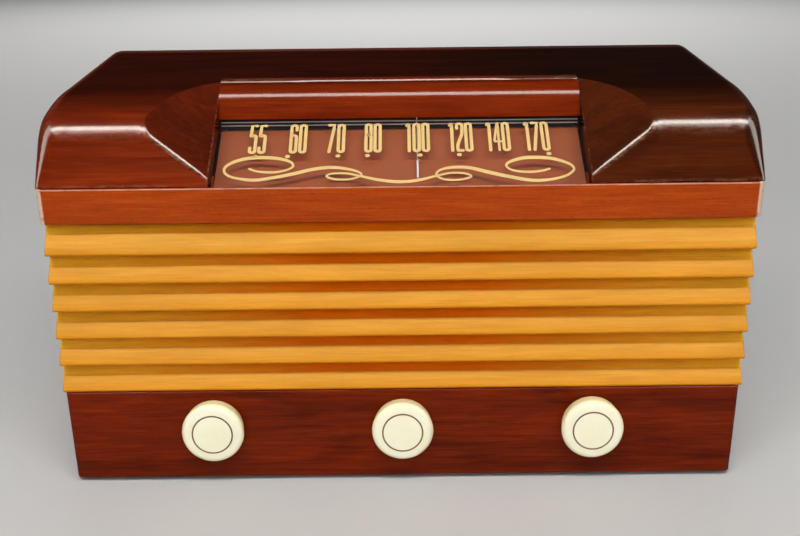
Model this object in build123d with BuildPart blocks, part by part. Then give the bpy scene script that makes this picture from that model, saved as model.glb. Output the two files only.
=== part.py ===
# Wooden table radio: dark hood with scooped shoulders over a sloping slide-rule dial,
# blond louvred grille, dark control panel with three knobs, and the works inside.
# Millimetres. +X to the right, -Y to the front, +Z up. The origin is the middle of the
# footprint, knobs included, on the surface that the radio stands on.
from build123d import *
from math import atan2, cos, degrees, pi, sin, sqrt, tan
import os

os.makedirs("parts", exist_ok=True)

# ---- driving dimensions -------------------------------------------------------------
# cabinet
cabinet_width = 362.0
cabinet_depth = 186.0
foot_height = 2.5
foot_diameter = 16.0
panel_height = 50.3
louver_pitch = 15.6
louver_count = 6
rail_height = 18.1
hood_height = 40.1
side_taper = 5.7
side_thickness = 9.5
base_thickness = 10.0
louver_inset = 2.4
louver_first_setback = 0.7
louver_step_back = 2.1
louver_slope = 0.66
louver_nose_radius = 3.0
louver_nose_drop = 0.9
louver_end_radius = 1.3
slot_height = 2.3
front_block_depth = 26.0
spacer_width = 13.0
rail_lean = 0.8
rail_corner_radius = 4.5
panel_setback = 10.2
panel_lean = 2.3
panel_corner_radius = 3.0
cleat_size = 12.0
low_block_length = 90.0
high_block_length = 110.0
trough_floor = 5.0
trough_gap = 1.0

# hood
hood_setback = 1.5
hood_wall = 9.0
hood_lean = 9.9
corner_radius_low = 1.0
corner_radius_high = 16.0
top_edge_radius = 14.0
crest_height = 29.0
flat_top_setback = 66.0
dial_half_width = 95.0
cheek_wall = 6.0
scoop_run = 32.0
scoop_floor = 1.0
visor_radius = 17.0
visor_setback = 56.0
visor_drop = 0.6
visor_gap = 1.0

# dial
glass_thickness = 2.4
glass_slope = 0.474
glass_front = 6.5
glass_rear = 60.0
glass_side_gap = 0.7
plate_depth = 9.0
plate_thickness = 1.0
plate_front = 12.6
plate_rear = 63.4
ledge_width = 3.0
ledge_thickness = 3.0
ledge_front = 14.5
ledge_rear = 58.0
rail_bar_front = 62.0
rail_bar_depth = 4.0
rail_bar_height = 5.4
rail_bar_wall = 1.0
rail_bar_drop = 2.8
ear_width = 12.0
pointer_travel = 150.0
pointer_low = -74.0
pointer_rest = 9.2
needle_width = 1.0
needle_thickness = 0.6
needle_end = 19.0
clip_width = 3.0
lamp_setback = 44.0
lamp_drop = 22.0
lamp_inset = 8.0
lamp_radius = 5.0
lamp_bulb_radius = 4.4
lamp_socket_length = 12.0
lamp_bulb_length = 12.0
lamp_strap_width = 8.0
lamp_strap_thickness = 1.2
lamp_pad_length = 10.0
lamp_pad_thickness = 3.4

# string drive
cord_diameter = 1.0
seat_gap = 0.3
groove_depth = 1.6
idler_radius = 6.0
idler_side_gap = 2.2
idler_drop = 2.9
idler_pin_radius = 2.0
idler_width = 3.8
idler_pin_proud = 1.0
string_plane = 68.5
drive_plane = 72.5
drum_width = 8.0
drum_hole_circle = 0.58
drum_hole_size = 0.2
drum_slot_gap = 3.0
drum_slot_side_gap = 2.5
running_gap = 0.05

# controls
knob_diameter = 32.6
knob_length = 10.5
knob_gap = 1.0
knob_spacing = 99.5
knob_height = 30.3
knob_back_taper = 0.9
knob_edge_radius = 2.6
knob_wall = 2.6
knob_ring_radius = 10.4
knob_ring_width = 0.6
knob_ring_depth = 1.0
knob_inner_taper = 1.5
knob_floor = 4.6
knob_hub_setback = 2.0
shaft_diameter = 6.35
shaft_hole_diameter = 11.0
control_diameter = 24.0
control_depth = 14.0
bushing_diameter = 9.5
bushing_length = 9.0
nut_width = 13.0
nut_thickness = 2.5
bushing_head = 3.0
bushing_head_rim = 2.0
control_rear_wall = 3.0
shaft_end_gap = 1.0
shaft_nose_gap = 2.0
shaft_flat_length = 9.0
shaft_flat_depth = 0.8
lug_pitch = 6.0
lug_width = 2.4
lug_length = 9.0
lug_thickness = 0.8
lug_setback = 3.0
tab_gap = 6.0
tab_width = 20.0
tab_below_shaft = 8.0

# chassis and works
chassis_front = 34.0
chassis_back_gap = 28.0
chassis_height = 42.0
sheet = 1.2
chassis_side_gap = 5.0
flange = 12.0
gang_x = 52.0
gang_width = 44.0
gang_length = 40.0
gang_plate = 1.5
gang_axis_height = 26.0
gang_front = 78.0
gang_top_gap = 4.0
stator_margin = 1.5
stator_bar_width = 3.0
stator_bar_height = 14.0
stator_hole_margin = 3.0
rotor_margin = 0.8
rotor_overhang = 3.0
vane_radius = 18.0
vane_thickness = 0.8
vane_pitch = 3.2
vane_count = 5
tube_row_setback = 20.0
tube_row_margin = 22.0
second_row_setback = 96.0
filter_x = -4.0
transformer_inset = 33.0
tube_base_diameter = 29.0
tube_base_height = 22.0
tube_bulb_diameter = 27.0
tube_bulb_height = 52.0
socket_diameter = 31.0
socket_height = 3.0
coil_can_size = 30.0
coil_can_height = 72.0
filter_can_diameter = 28.0
filter_can_height = 70.0
core_width = 38.0
core_depth = 16.0
core_height = 34.0
core_limb = 10.0
core_window = 8.0
window_height = 18.0
coil_width = 25.0
coil_depth = 28.0

# loudspeaker and grille
speaker_x = -88.0
speaker_radius = 50.0
cone_radius = 42.0
basket_depth = 38.0
basket_back_radius = 22.0
magnet_radius = 20.0
magnet_depth = 20.0
cloth_thickness = 0.5
baffle_thickness = 5.0
baffle_margin = 3.0
baffle_inset = 1.0
frame_sheet = 1.5
paper = 0.8
basket_slot_length = 30.0
basket_slot_width = 18.0
basket_slot_inset = 4.0
basket_slot_end = 7.0
cone_shortfall = 12.0
cone_edge = 4.0
voice_coil_radius = 12.5
dust_cap_radius = 11.2
dust_cap_rise = 4.5

# back
back_thickness = 3.0
back_inset = 2.0
back_gap = 0.6
vent_diameter = 7.0
vent_columns = 16
vent_rows = 5
vent_row_pitch = 15.0
vent_level = 62.0
antenna_side_margin = 35.0
antenna_height = 96.0
antenna_band = 10.0
antenna_thickness = 2.0
antenna_corner = 14.0
screw_radius = 1.6
screw_head_radius = 3.6
screw_head_height = 1.8
screw_hole_gap = 0.4
grommet_bore = 3.5
grommet_hole = 6.0
grommet_lip = 1.5
grommet_height = 20.0
grommet_place = 0.6

# ---- levels and planes worked out from the above -----------------------------------
base_z = foot_height
panel_top = base_z + panel_height
rail_bottom = panel_top + louver_pitch * louver_count + louver_nose_drop
seam = rail_bottom + rail_height
top = seam + hood_height


def panel_face(z):
    """Setback of the control panel's leaning front at a level, from the rail's front."""
    return panel_setback + panel_lean * (panel_top - z) / panel_height


def half_width(z):
    """Half the width of the tapering cabinet at a level."""
    return cabinet_width / 2 - side_taper * (seam - z) / (seam - base_z)


knob_z = base_z + knob_height
knob_back = panel_face(knob_z) - knob_gap
knob_proud = knob_length - knob_back
front = -(cabinet_depth + knob_proud) / 2 + knob_proud
back = front + cabinet_depth
floor_z = base_z + base_thickness
block_back = front + front_block_depth
chassis_top = floor_z + chassis_height
inner_half = half_width(floor_z) - side_thickness


def facing(y):
    """Plane across the cabinet at depth y, looking out of the front: local y is +Z."""
    return Plane((0, y, 0), x_dir=(1, 0, 0), z_dir=(0, -1, 0))


def glass_z(setback):
    """Height of the glass's upper face at a setback behind the rail's front."""
    return glass_low + glass_slope * (setback - glass_front)


glass_low = seam - 1.5
glass_angle = atan2(glass_slope, 1)
visor_bottom = glass_z(visor_setback) + visor_gap
exported = []


def finish(builder, name):
    """Label a finished piece and write its STEP file."""
    builder.part.label = name
    export_step(builder.part, f"parts/{name}.step")
    exported.append(name)


# ---- cabinet ------------------------------------------------------------------------
with BuildPart() as base_board:
    with BuildSketch(facing(back)):
        Polygon(
            (-half_width(base_z), base_z), (half_width(base_z), base_z),
            (half_width(floor_z), floor_z), (-half_width(floor_z), floor_z), align=None,
        )
    extrude(amount=back - front - panel_face(floor_z))
    fillet(base_board.edges().filter_by(Axis.Z, 5).group_by(Axis.Y)[0], panel_corner_radius)
    with BuildSketch(Plane.XY.offset(base_z)):
        with Locations((0, front + chassis_front + flange / 2), (0, back - chassis_back_gap - flange / 2)):
            with GridLocations(knob_spacing * 2, 1, 2, 1):
                Circle(screw_radius + running_gap)
    extrude(amount=base_thickness, mode=Mode.SUBTRACT)
finish(base_board, "base_board")

foot_x = half_width(base_z) - foot_diameter
foot_y = (front + panel_face(base_z) + foot_diameter, back - foot_diameter)
with BuildPart() as rubber_feet:
    with BuildSketch(Plane.XY):
        for y in foot_y:
            with Locations((-foot_x, y), (foot_x, y)):
                Circle(foot_diameter / 2)
    extrude(amount=foot_height)
    chamfer(rubber_feet.faces().group_by(Axis.Z)[0].edges(), foot_height / 4)
finish(rubber_feet, "rubber_feet")

for name, side in (("side_left", -1), ("side_right", 1)):
    with BuildPart() as side_board:
        with BuildSketch(facing(back)):
            Polygon(
                (side * half_width(floor_z), floor_z), (side * half_width(seam), seam),
                (side * (half_width(seam) - side_thickness), seam),
                (side * (half_width(floor_z) - side_thickness), floor_z), align=None,
            )
        extrude(amount=back - block_back)
    finish(side_board, name)

# strips and blocks that glue the sides to the base and to the hood, and take the back's screws
back_inner = back - back_inset - back_thickness
screw_x = inner_half - cleat_size / 2
screw_z = (floor_z + cleat_size * 1.5, seam - cleat_size * 1.5)
with BuildPart() as glue_blocks:
    for side in (-1, 1):
        for z, length in ((floor_z, low_block_length), (seam - cleat_size, high_block_length)):
            inner = half_width(z) - side_thickness
            upper = half_width(z + cleat_size) - side_thickness
            with BuildSketch(facing(back_inner - cleat_size * 2)):
                Polygon(
                    (side * inner, z), (side * upper, z + cleat_size),
                    (side * (inner - cleat_size), z + cleat_size), (side * (inner - cleat_size), z), align=None,
                )
            extrude(amount=length)
        for z in screw_z:
            low, high = z - cleat_size / 2, z + cleat_size / 2
            with BuildSketch(facing(back_inner)):
                Polygon(
                    (side * (half_width(low) - side_thickness), low),
                    (side * (half_width(high) - side_thickness), high),
                    (side * (screw_x - cleat_size / 2), high), (side * (screw_x - cleat_size / 2), low), align=None,
                )
                with Locations((side * screw_x, z)):
                    Circle(screw_radius + running_gap, mode=Mode.SUBTRACT)
            extrude(amount=cleat_size)
finish(glue_blocks, "glue_blocks")

with BuildPart() as lower_panel:
    with BuildSketch(Plane.YZ):
        Polygon(
            (front + panel_face(floor_z), floor_z), (front + panel_face(panel_top), panel_top),
            (block_back, panel_top), (block_back, floor_z), align=None,
        )
    extrude(amount=cabinet_width / 2, both=True)
    with BuildSketch(facing(block_back)):
        Polygon(
            (-half_width(floor_z), floor_z), (half_width(floor_z), floor_z),
            (half_width(panel_top), panel_top), (-half_width(panel_top), panel_top), align=None,
        )
    extrude(amount=front_block_depth, mode=Mode.INTERSECT)
    fillet(lower_panel.edges().filter_by(Axis.Z, 5).group_by(Axis.Y)[0], panel_corner_radius)
    with BuildSketch(facing(block_back)):
        with Locations((-knob_spacing, knob_z), (0, knob_z), (knob_spacing, knob_z)):
            Circle(shaft_hole_diameter / 2)
    extrude(amount=front_block_depth, mode=Mode.SUBTRACT)
finish(lower_panel, "lower_panel")

# louvers: each is a slat whose face slopes forward to a round nose that overhangs the next
louver_half = cabinet_width / 2 - louver_inset
nose_tangent = louver_nose_radius / tan(atan2(1, louver_slope) / 2)


def louver_bottom(index):
    """Foremost depth and underside of a louver's nose, counted down from the rail."""
    setback = louver_first_setback + louver_step_back * (index - 1)
    return front + setback, rail_bottom - louver_pitch * index - louver_nose_drop


def slot_top(index):
    """Level of the underside that closes the slot above a louver."""
    return rail_bottom if index == 1 else louver_bottom(index - 1)[1]


for index in range(1, louver_count + 1):
    nose_y, bottom_z = louver_bottom(index)
    slat_top = slot_top(index) - slot_height
    corner_y = nose_y + louver_nose_radius - nose_tangent
    with BuildPart() as louver:
        with BuildSketch(Plane.YZ):
            Polygon(
                (corner_y, bottom_z), (corner_y + louver_slope * (slat_top - bottom_z), slat_top),
                (block_back, slat_top), (block_back, bottom_z), align=None,
            )
        extrude(amount=louver_half, both=True)
        fillet(louver.edges().filter_by(Axis.X).group_by(Axis.Y)[0], louver_nose_radius)
        face = louver.faces().filter_by(GeomType.PLANE).sort_by(lambda f: f.normal_at().Y)[0]
        fillet(face.edges().filter_by(Axis.X, reverse=True), louver_end_radius)
    finish(louver, f"louver_{index}")

with BuildPart() as louver_spacers:
    for index in range(1, louver_count + 1):
        nose_y, bottom_z = louver_bottom(index)
        slat_top = slot_top(index) - slot_height
        corner_y = nose_y + louver_nose_radius - nose_tangent
        for side in (-1, 1):
            with BuildSketch(Plane.YZ.offset(side * (louver_half - spacer_width / 2))):
                Polygon(
                    (corner_y + louver_slope * (slat_top - bottom_z), slat_top),
                    (corner_y + louver_slope * (slot_top(index) - bottom_z), slot_top(index)),
                    (block_back, slot_top(index)), (block_back, slat_top), align=None,
                )
            extrude(amount=spacer_width / 2, both=True)
finish(louver_spacers, "louver_spacers")

# upper rail, hollowed behind the dial window so that the glass can rest on it
with BuildPart() as upper_rail:
    with BuildSketch(Plane.YZ):
        Polygon(
            (front, seam), (front + rail_lean, rail_bottom), (block_back, rail_bottom), (block_back, seam), align=None,
        )
    extrude(amount=cabinet_width / 2, both=True)
    with BuildSketch(facing(block_back)):
        Polygon(
            (-half_width(rail_bottom) + rail_lean, rail_bottom), (half_width(rail_bottom) - rail_lean, rail_bottom),
            (half_width(seam), seam), (-half_width(seam), seam), align=None,
        )
    extrude(amount=front_block_depth, mode=Mode.INTERSECT)
    fillet(upper_rail.edges().filter_by(Axis.Z, 10).group_by(Axis.Y)[0], rail_corner_radius)
    shelf = glass_z(glass_front) - glass_thickness / cos(glass_angle) - seat_gap
    shelf_y = front + glass_front - seat_gap
    trough_y = front + plate_front - trough_gap
    with BuildSketch(Plane.YZ):
        Polygon(
            (front + hood_setback, seam), (shelf_y, glass_z(glass_front)), (shelf_y, shelf), (trough_y, shelf),
            (trough_y, rail_bottom + trough_floor), (block_back, rail_bottom + trough_floor), (block_back, seam), align=None,
        )
    extrude(amount=dial_half_width, both=True, mode=Mode.SUBTRACT)
finish(upper_rail, "upper_rail")

# ---- hood ---------------------------------------------------------------------------
hood_front = front + hood_setback
crest_z = seam + crest_height
crest_y = hood_front + hood_lean * crest_height / hood_height
flat_y = front + flat_top_setback
visor_top = top - visor_drop
visor_back = front + visor_setback + visor_radius


# scoop: a flat that falls from the shoulder to the dial, one on each side
ridge = Vector(-dial_half_width - scoop_run, crest_y, crest_z)
mouth = Vector(-dial_half_width, hood_front, seam + scoop_floor)
rise = Vector(-dial_half_width, visor_back, top)
scoop_normal = (mouth - ridge).cross(rise - ridge).normalized()


def on_scoop(x, y, sink=0.0):
    """Point of the scoop's flat above (x, y), sunk by a distance square to the flat."""
    z = ridge.Z - (scoop_normal.X * (x - ridge.X) + scoop_normal.Y * (y - ridge.Y)) / scoop_normal.Z
    return Vector(x, y, z - sink / scoop_normal.Z)


def scoop_cutter(sink):
    """Prism over the left scoop's flat, for cutting away what stands above it."""
    corners = [
        on_scoop(x, y, sink)
        for x, y in (
            (-dial_half_width, hood_front - 10), (-dial_half_width, visor_back + 20),
            (-dial_half_width - scoop_run - 16, visor_back + 20),
            (-dial_half_width - scoop_run - 16, hood_front - 10),
        )
    ]
    with BuildPart() as cutter:
        with BuildSketch(Plane(corners[0], x_dir=(corners[1] - corners[0]), z_dir=scoop_normal)) as outline:
            plane = outline.workplanes[0]
            Polygon(*[tuple(plane.to_local_coords(corner))[:2] for corner in corners], align=None)
        extrude(amount=hood_height * 1.6)
    return cutter.part


with BuildPart() as hood_hollow:
    with BuildSketch(Plane.XY.offset(seam)):
        for side in (-1, 1):
            with Locations((side * (dial_half_width + cheek_wall + cabinet_width / 2 - hood_wall) / 2,
                            (front + front_block_depth + back) / 2)):
                Rectangle(cabinet_width / 2 - hood_wall - dial_half_width - cheek_wall, cabinet_depth - front_block_depth)
        with Locations((0, (visor_back + cheek_wall + back) / 2)):
            Rectangle(cabinet_width - hood_wall * 2, back - visor_back - cheek_wall)
    extrude(amount=hood_height - hood_wall)
    under_scoop = scoop_cutter(hood_wall * 0.7)
    add(under_scoop, mode=Mode.SUBTRACT)
    add(mirror(under_scoop, about=Plane.YZ, mode=Mode.PRIVATE), mode=Mode.SUBTRACT)

with BuildPart() as hood:
    for level, lean, radius in ((seam, 0, corner_radius_low), (top, hood_lean, corner_radius_high)):
        with BuildSketch(Plane.XY.offset(level)) as section:
            with Locations((0, (hood_front + lean + back) / 2)):
                Rectangle(cabinet_width, back - hood_front - lean)
            fillet(section.vertices().group_by(Axis.Y)[0], radius)
    loft(ruled=True)
    with BuildSketch(Plane.YZ):
        with BuildLine():
            Polyline((hood_front - 1, seam), (hood_front - 1, crest_z - 3), (crest_y, crest_z))
            TangentArc((flat_y, top), (crest_y, crest_z), tangent=(-1, 0))
            Polyline((flat_y, top), (back, top), (back, seam), (hood_front - 1, seam))
        make_face()
    extrude(amount=cabinet_width / 2, both=True, mode=Mode.INTERSECT)
    with BuildSketch(facing(back)) as hood_end:
        with Locations((0, (seam + top) / 2)):
            Rectangle(cabinet_width, hood_height)
        fillet(hood_end.vertices().group_by(Axis.Y)[-1], top_edge_radius)
    extrude(amount=cabinet_depth, mode=Mode.INTERSECT)
    left_scoop = scoop_cutter(0)
    add(left_scoop, mode=Mode.SUBTRACT)
    add(mirror(left_scoop, about=Plane.YZ, mode=Mode.PRIVATE), mode=Mode.SUBTRACT)
    with BuildSketch(Plane.XY.offset(seam)):
        with Locations((0, (hood_front - 2 + visor_back) / 2)):
            Rectangle(dial_half_width * 2, visor_back - hood_front + 2)
    extrude(amount=hood_height, mode=Mode.SUBTRACT)
    with BuildSketch(Plane.XY.offset(seam)):
        with Locations((0, visor_back + cheek_wall / 2)):
            Rectangle(dial_half_width * 2, cheek_wall)
    extrude(amount=hood_height - hood_wall, mode=Mode.SUBTRACT)
    add(hood_hollow.part, mode=Mode.SUBTRACT)
    # ledges under the glass, one along each cheek
    ledge_drop = glass_thickness + seat_gap
    with BuildSketch(Plane.YZ):
        Polygon(
            *[
                (front + setback, glass_z(setback) - drop / cos(glass_angle))
                for setback, drop in (
                    (ledge_front, ledge_drop), (ledge_rear, ledge_drop),
                    (ledge_rear, ledge_drop + ledge_thickness), (ledge_front, ledge_drop + ledge_thickness),
                )
            ],
            align=None,
        )
    extrude(amount=dial_half_width, both=True)
    with BuildSketch(Plane.XY.offset(seam - 5)):
        with Locations((0, front + (glass_front + glass_rear) / 2)):
            Rectangle((dial_half_width - ledge_width) * 2, glass_rear)
    extrude(amount=hood_height + 5, mode=Mode.SUBTRACT)
finish(hood, "hood")

with BuildPart() as visor_bar:
    nose = (front + visor_setback, visor_bottom)
    rear_z = visor_bottom + glass_slope * visor_radius
    with BuildSketch(Plane.YZ):
        with BuildLine():
            RadiusArc(nose, (visor_back, visor_top), (visor_radius + visor_top - visor_bottom) / 2)
            Polyline((visor_back, visor_top), (visor_back, rear_z), nose)
        make_face()
    extrude(amount=dial_half_width, both=True)
finish(visor_bar, "visor_bar")

# ---- dial ---------------------------------------------------------------------------
def along_glass(setback, drop):
    """Point in the YZ plane at a setback, a distance square to the glass under its upper face."""
    return (front + setback + drop * sin(glass_angle), glass_z(setback) - drop * cos(glass_angle))


dial_inner = dial_half_width - glass_side_gap
with BuildPart() as dial_glass:
    with BuildSketch(Plane.YZ):
        Polygon(
            along_glass(glass_front, 0), along_glass(glass_rear, 0),
            along_glass(glass_rear, glass_thickness), along_glass(glass_front, glass_thickness), align=None,
        )
    extrude(amount=dial_inner, both=True)
finish(dial_glass, "dial_glass")

plate_low = plate_front - plate_depth * sin(glass_angle)
plate_high = plate_rear - plate_depth * sin(glass_angle)
with BuildPart() as dial_plate:
    with BuildSketch(Plane.YZ):
        Polygon(
            along_glass(plate_low, plate_depth), along_glass(plate_high, plate_depth),
            along_glass(plate_high, plate_depth + plate_thickness),
            along_glass(plate_low, plate_depth + plate_thickness), align=None,
        )
    extrude(amount=dial_half_width - seat_gap, both=True)
finish(dial_plate, "dial_plate")

# the pointer's track: a channel across the dial, with ears that carry the idler pins
track_top = glass_z(rail_bar_front) - rail_bar_drop
track_bottom = track_top - rail_bar_height
track_y = front + rail_bar_front
string_y = front + string_plane
drive_y = front + drive_plane
idler_z = track_top - idler_drop - idler_radius
idler_rim = idler_radius - cord_diameter / 2 - seat_gap + groove_depth
idler_offset = dial_half_width - idler_side_gap - idler_rim
ear_y = track_y + rail_bar_depth
with BuildPart() as pointer_rail:
    with BuildSketch(Plane.YZ):
        with Locations((track_y + rail_bar_depth / 2, track_bottom + rail_bar_height / 2)):
            Rectangle(rail_bar_depth, rail_bar_height)
        with Locations((track_y + rail_bar_depth / 2, track_bottom + rail_bar_height / 2 + rail_bar_wall)):
            Rectangle(rail_bar_depth - rail_bar_wall * 2, rail_bar_height, mode=Mode.SUBTRACT)
    extrude(amount=dial_half_width - seat_gap, both=True)
    ear_top = track_bottom + rail_bar_wall
    ear_bottom = idler_z - idler_pin_radius * 3
    with BuildSketch(facing(ear_y)):
        with Locations((-idler_offset, (ear_top + ear_bottom) / 2), (idler_offset, (ear_top + ear_bottom) / 2)):
            Rectangle(ear_width, ear_top - ear_bottom)
    extrude(amount=rail_bar_wall)
    pin_end = string_y + idler_width / 2 + idler_pin_proud
    with BuildSketch(facing(pin_end)):
        with Locations((-idler_offset, idler_z), (idler_offset, idler_z)):
            Circle(idler_pin_radius)
    extrude(amount=pin_end - ear_y)
finish(pointer_rail, "pointer_rail")


# the cord's centre runs seat_gap and half its own width clear of a groove's floor
drum_radius = pointer_travel / pi
drum_rim = drum_radius - cord_diameter / 2 - seat_gap + groove_depth
for name, side in (("idler_left", -1), ("idler_right", 1)):
    with BuildPart() as idler:
        axis_plane = Plane((side * idler_offset, string_y, idler_z), x_dir=(1, 0, 0), z_dir=(0, 0, 1))
        with BuildSketch(axis_plane):
            Polygon((0, -idler_width / 2), (idler_rim, -idler_width / 2),
                    (idler_rim, idler_width / 2), (0, idler_width / 2), align=None)
            with Locations((idler_rim - groove_depth / 2, 0)):
                Rectangle(groove_depth, cord_diameter + seat_gap * 2, mode=Mode.SUBTRACT)
        revolve(axis=Axis((side * idler_offset, string_y, idler_z), (0, 1, 0)))
        with BuildSketch(facing(string_y + idler_width)):
            with Locations((side * idler_offset, idler_z)):
                Circle(idler_pin_radius + running_gap)
        extrude(amount=idler_width * 2, mode=Mode.SUBTRACT)
    finish(idler, name)

# pointer: a clip that rides over the track and a needle that lies between glass and plate
needle_drop = (glass_thickness + plate_depth) / 2
needle_high = rail_bar_front - seat_gap * 2 - needle_thickness
with BuildPart() as dial_pointer:
    clip_front = track_y - seat_gap - needle_thickness
    clip_back = ear_y + seat_gap + needle_thickness
    clip_top = track_top + seat_gap + needle_thickness
    with BuildSketch(Plane.YZ.offset(pointer_rest)):
        Polygon(
            (clip_front, track_bottom), (clip_front, clip_top), (clip_back, clip_top), (clip_back, track_bottom),
            (clip_back - needle_thickness, track_bottom), (clip_back - needle_thickness, clip_top - needle_thickness),
            (clip_front + needle_thickness, clip_top - needle_thickness),
            (clip_front + needle_thickness, track_bottom), align=None,
        )
    extrude(amount=clip_width / 2, both=True)
    high = clip_front - front - needle_drop * sin(glass_angle) + needle_thickness
    low = needle_end - needle_drop * sin(glass_angle)
    with BuildSketch(Plane.YZ.offset(pointer_rest)):
        Polygon(
            along_glass(low, needle_drop), along_glass(high, needle_drop),
            along_glass(high, needle_drop + needle_thickness),
            along_glass(low, needle_drop + needle_thickness), align=None,
        )
    extrude(amount=needle_width / 2, both=True)
finish(dial_pointer, "dial_pointer")

# pilot lamps lie under the plate's two ends
lamp_y = front + lamp_setback
lamp_z = glass_z(lamp_setback) - lamp_drop
lamp_x = dial_half_width - lamp_inset
plate_under = plate_depth + plate_thickness
pad_setback = lamp_setback - plate_depth * sin(glass_angle)
strap_top = glass_z(lamp_setback) - (plate_under + lamp_pad_thickness * 0.8) / cos(glass_angle)
with BuildPart() as lamp_sockets:
    for side in (-1, 1):
        with BuildSketch(Plane.YZ.offset(side * lamp_x)):
            with Locations((lamp_y, lamp_z)):
                Circle(lamp_radius)
        extrude(amount=lamp_socket_length / 2, both=True)
        with BuildSketch(Plane.YZ.offset(side * lamp_x)):
            with Locations((lamp_y, (lamp_z + strap_top) / 2)):
                Rectangle(lamp_strap_thickness, strap_top - lamp_z)
            low, high = pad_setback - lamp_pad_length / 2, pad_setback + lamp_pad_length / 2
            Polygon(
                along_glass(low, plate_under), along_glass(high, plate_under),
                along_glass(high, plate_under + lamp_pad_thickness), along_glass(low, plate_under + lamp_pad_thickness),
                align=None,
            )
        extrude(amount=lamp_strap_width / 2, both=True)
finish(lamp_sockets, "lamp_sockets")

with BuildPart() as lamp_bulbs:
    for side in (-1, 1):
        mouth_x = side * (lamp_x - lamp_socket_length / 2)
        with BuildSketch(Plane.YZ.offset(mouth_x)):
            with Locations((lamp_y, lamp_z)):
                Circle(lamp_bulb_radius)
        extrude(amount=-side * lamp_bulb_length)
        with Locations((mouth_x - side * lamp_bulb_length, lamp_y, lamp_z)):
            Sphere(lamp_bulb_radius)
finish(lamp_bulbs, "lamp_bulbs")

# ---- chassis ------------------------------------------------------------------------
chassis_half = inner_half - cleat_size - chassis_side_gap
chassis_y = (front + chassis_front, back - chassis_back_gap)
gang_z = chassis_top + gang_axis_height
gang_y = (front + gang_front, front + gang_front + gang_length)
tune_x = knob_spacing
drum_y = (string_y + drive_y) / 2
row_y = chassis_y[1] - tube_row_setback
row_pitch = (chassis_half - tube_row_margin) / 3
tube_places = [(-3 * row_pitch, row_y), (-2 * row_pitch, row_y), (0, row_y), (row_pitch, row_y), (3 * row_pitch, row_y)]
can_places = [(-row_pitch, row_y), (2 * row_pitch, row_y)]
tab_y = drive_y + tab_gap
with BuildPart() as chassis:
    with BuildSketch(Plane.XY.offset(floor_z)):
        with Locations((0, (chassis_y[0] + chassis_y[1]) / 2)):
            Rectangle(chassis_half * 2, chassis_y[1] - chassis_y[0])
    extrude(amount=chassis_height)
    with BuildSketch(Plane.XY.offset(floor_z)):
        with Locations((0, (chassis_y[0] + chassis_y[1]) / 2)):
            Rectangle((chassis_half - sheet) * 2, chassis_y[1] - chassis_y[0] - sheet * 2)
    extrude(amount=chassis_height - sheet, mode=Mode.SUBTRACT)
    for y in (chassis_y[0] + flange / 2, chassis_y[1] - flange / 2):
        with BuildSketch(Plane.XY.offset(floor_z)):
            with Locations((0, y)):
                Rectangle(chassis_half * 2, flange)
                with GridLocations(knob_spacing * 2, 1, 2, 1):
                    Circle(screw_radius + running_gap, mode=Mode.SUBTRACT)
        extrude(amount=sheet)
    # slot for the drum and its strings
    with BuildSketch(Plane.XY.offset(floor_z + sheet * 2)):
        with Locations((gang_x, drum_y)):
            Rectangle((drum_rim + drum_slot_gap) * 2, drum_width + drum_slot_side_gap * 2)
    extrude(amount=chassis_height, mode=Mode.SUBTRACT)
    # tab that carries the tuning shaft's rear end
    with BuildSketch(facing(tab_y + sheet)):
        with Locations((tune_x, (knob_z - tab_below_shaft + chassis_top) / 2)):
            Rectangle(tab_width, chassis_top - knob_z + tab_below_shaft)
    extrude(amount=sheet)
    # holes through the front for the two controls and the tuning bush, and the tab's bearing
    with BuildSketch(facing(tab_y + sheet * 2)):
        with Locations((tune_x, knob_z)):
            Circle(shaft_diameter / 2 + running_gap)
    extrude(amount=tab_y + sheet * 2 - chassis_y[0] - sheet * 2, mode=Mode.SUBTRACT)
    with BuildSketch(facing(chassis_y[0] + sheet * 2)):
        with Locations((-knob_spacing, knob_z), (0, knob_z), (tune_x, knob_z)):
            Circle(bushing_diameter / 2 + running_gap)
    extrude(amount=sheet * 4, mode=Mode.SUBTRACT)
finish(chassis, "chassis")

with BuildPart() as chassis_screws:
    with BuildSketch(Plane.XY.offset(base_z - screw_head_height)):
        with Locations((0, chassis_y[0] + flange / 2), (0, chassis_y[1] - flange / 2)):
            with GridLocations(knob_spacing * 2, 1, 2, 1):
                Circle(screw_head_radius)
    extrude(amount=screw_head_height)
    with BuildSketch(Plane.XY.offset(base_z)):
        with Locations((0, chassis_y[0] + flange / 2), (0, chassis_y[1] - flange / 2)):
            with GridLocations(knob_spacing * 2, 1, 2, 1):
                Circle(screw_radius)
    extrude(amount=base_thickness + sheet * 4)
finish(chassis_screws, "chassis_screws")

# ---- controls -----------------------------------------------------------------------
knob_face = front + knob_back - knob_length
shaft_nose = knob_face + knob_wall + shaft_nose_gap
for name, x in (("volume_control", -knob_spacing), ("tone_control", 0.0)):
    with BuildPart() as control:
        body_y = chassis_y[0] + sheet
        with BuildSketch(facing(body_y + control_depth)):
            with Locations((x, knob_z)):
                Circle(control_diameter / 2)
        extrude(amount=control_depth)
        with BuildSketch(facing(body_y)):
            with Locations((x, knob_z)):
                Circle(bushing_diameter / 2)
        extrude(amount=bushing_length)
        with BuildSketch(facing(body_y + control_depth - control_rear_wall)):
            with Locations((x, knob_z)):
                Circle(shaft_diameter / 2 + running_gap)
        extrude(amount=control_depth + bushing_length, mode=Mode.SUBTRACT)
        # three solder lugs hang under the body
        with BuildSketch(facing(body_y + lug_setback)):
            with Locations((x, knob_z - control_diameter / 2 - lug_length / 4)):
                with GridLocations(lug_pitch, 1, 3, 1):
                    Rectangle(lug_width, lug_length)
        extrude(amount=lug_thickness)
    finish(control, name)

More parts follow.
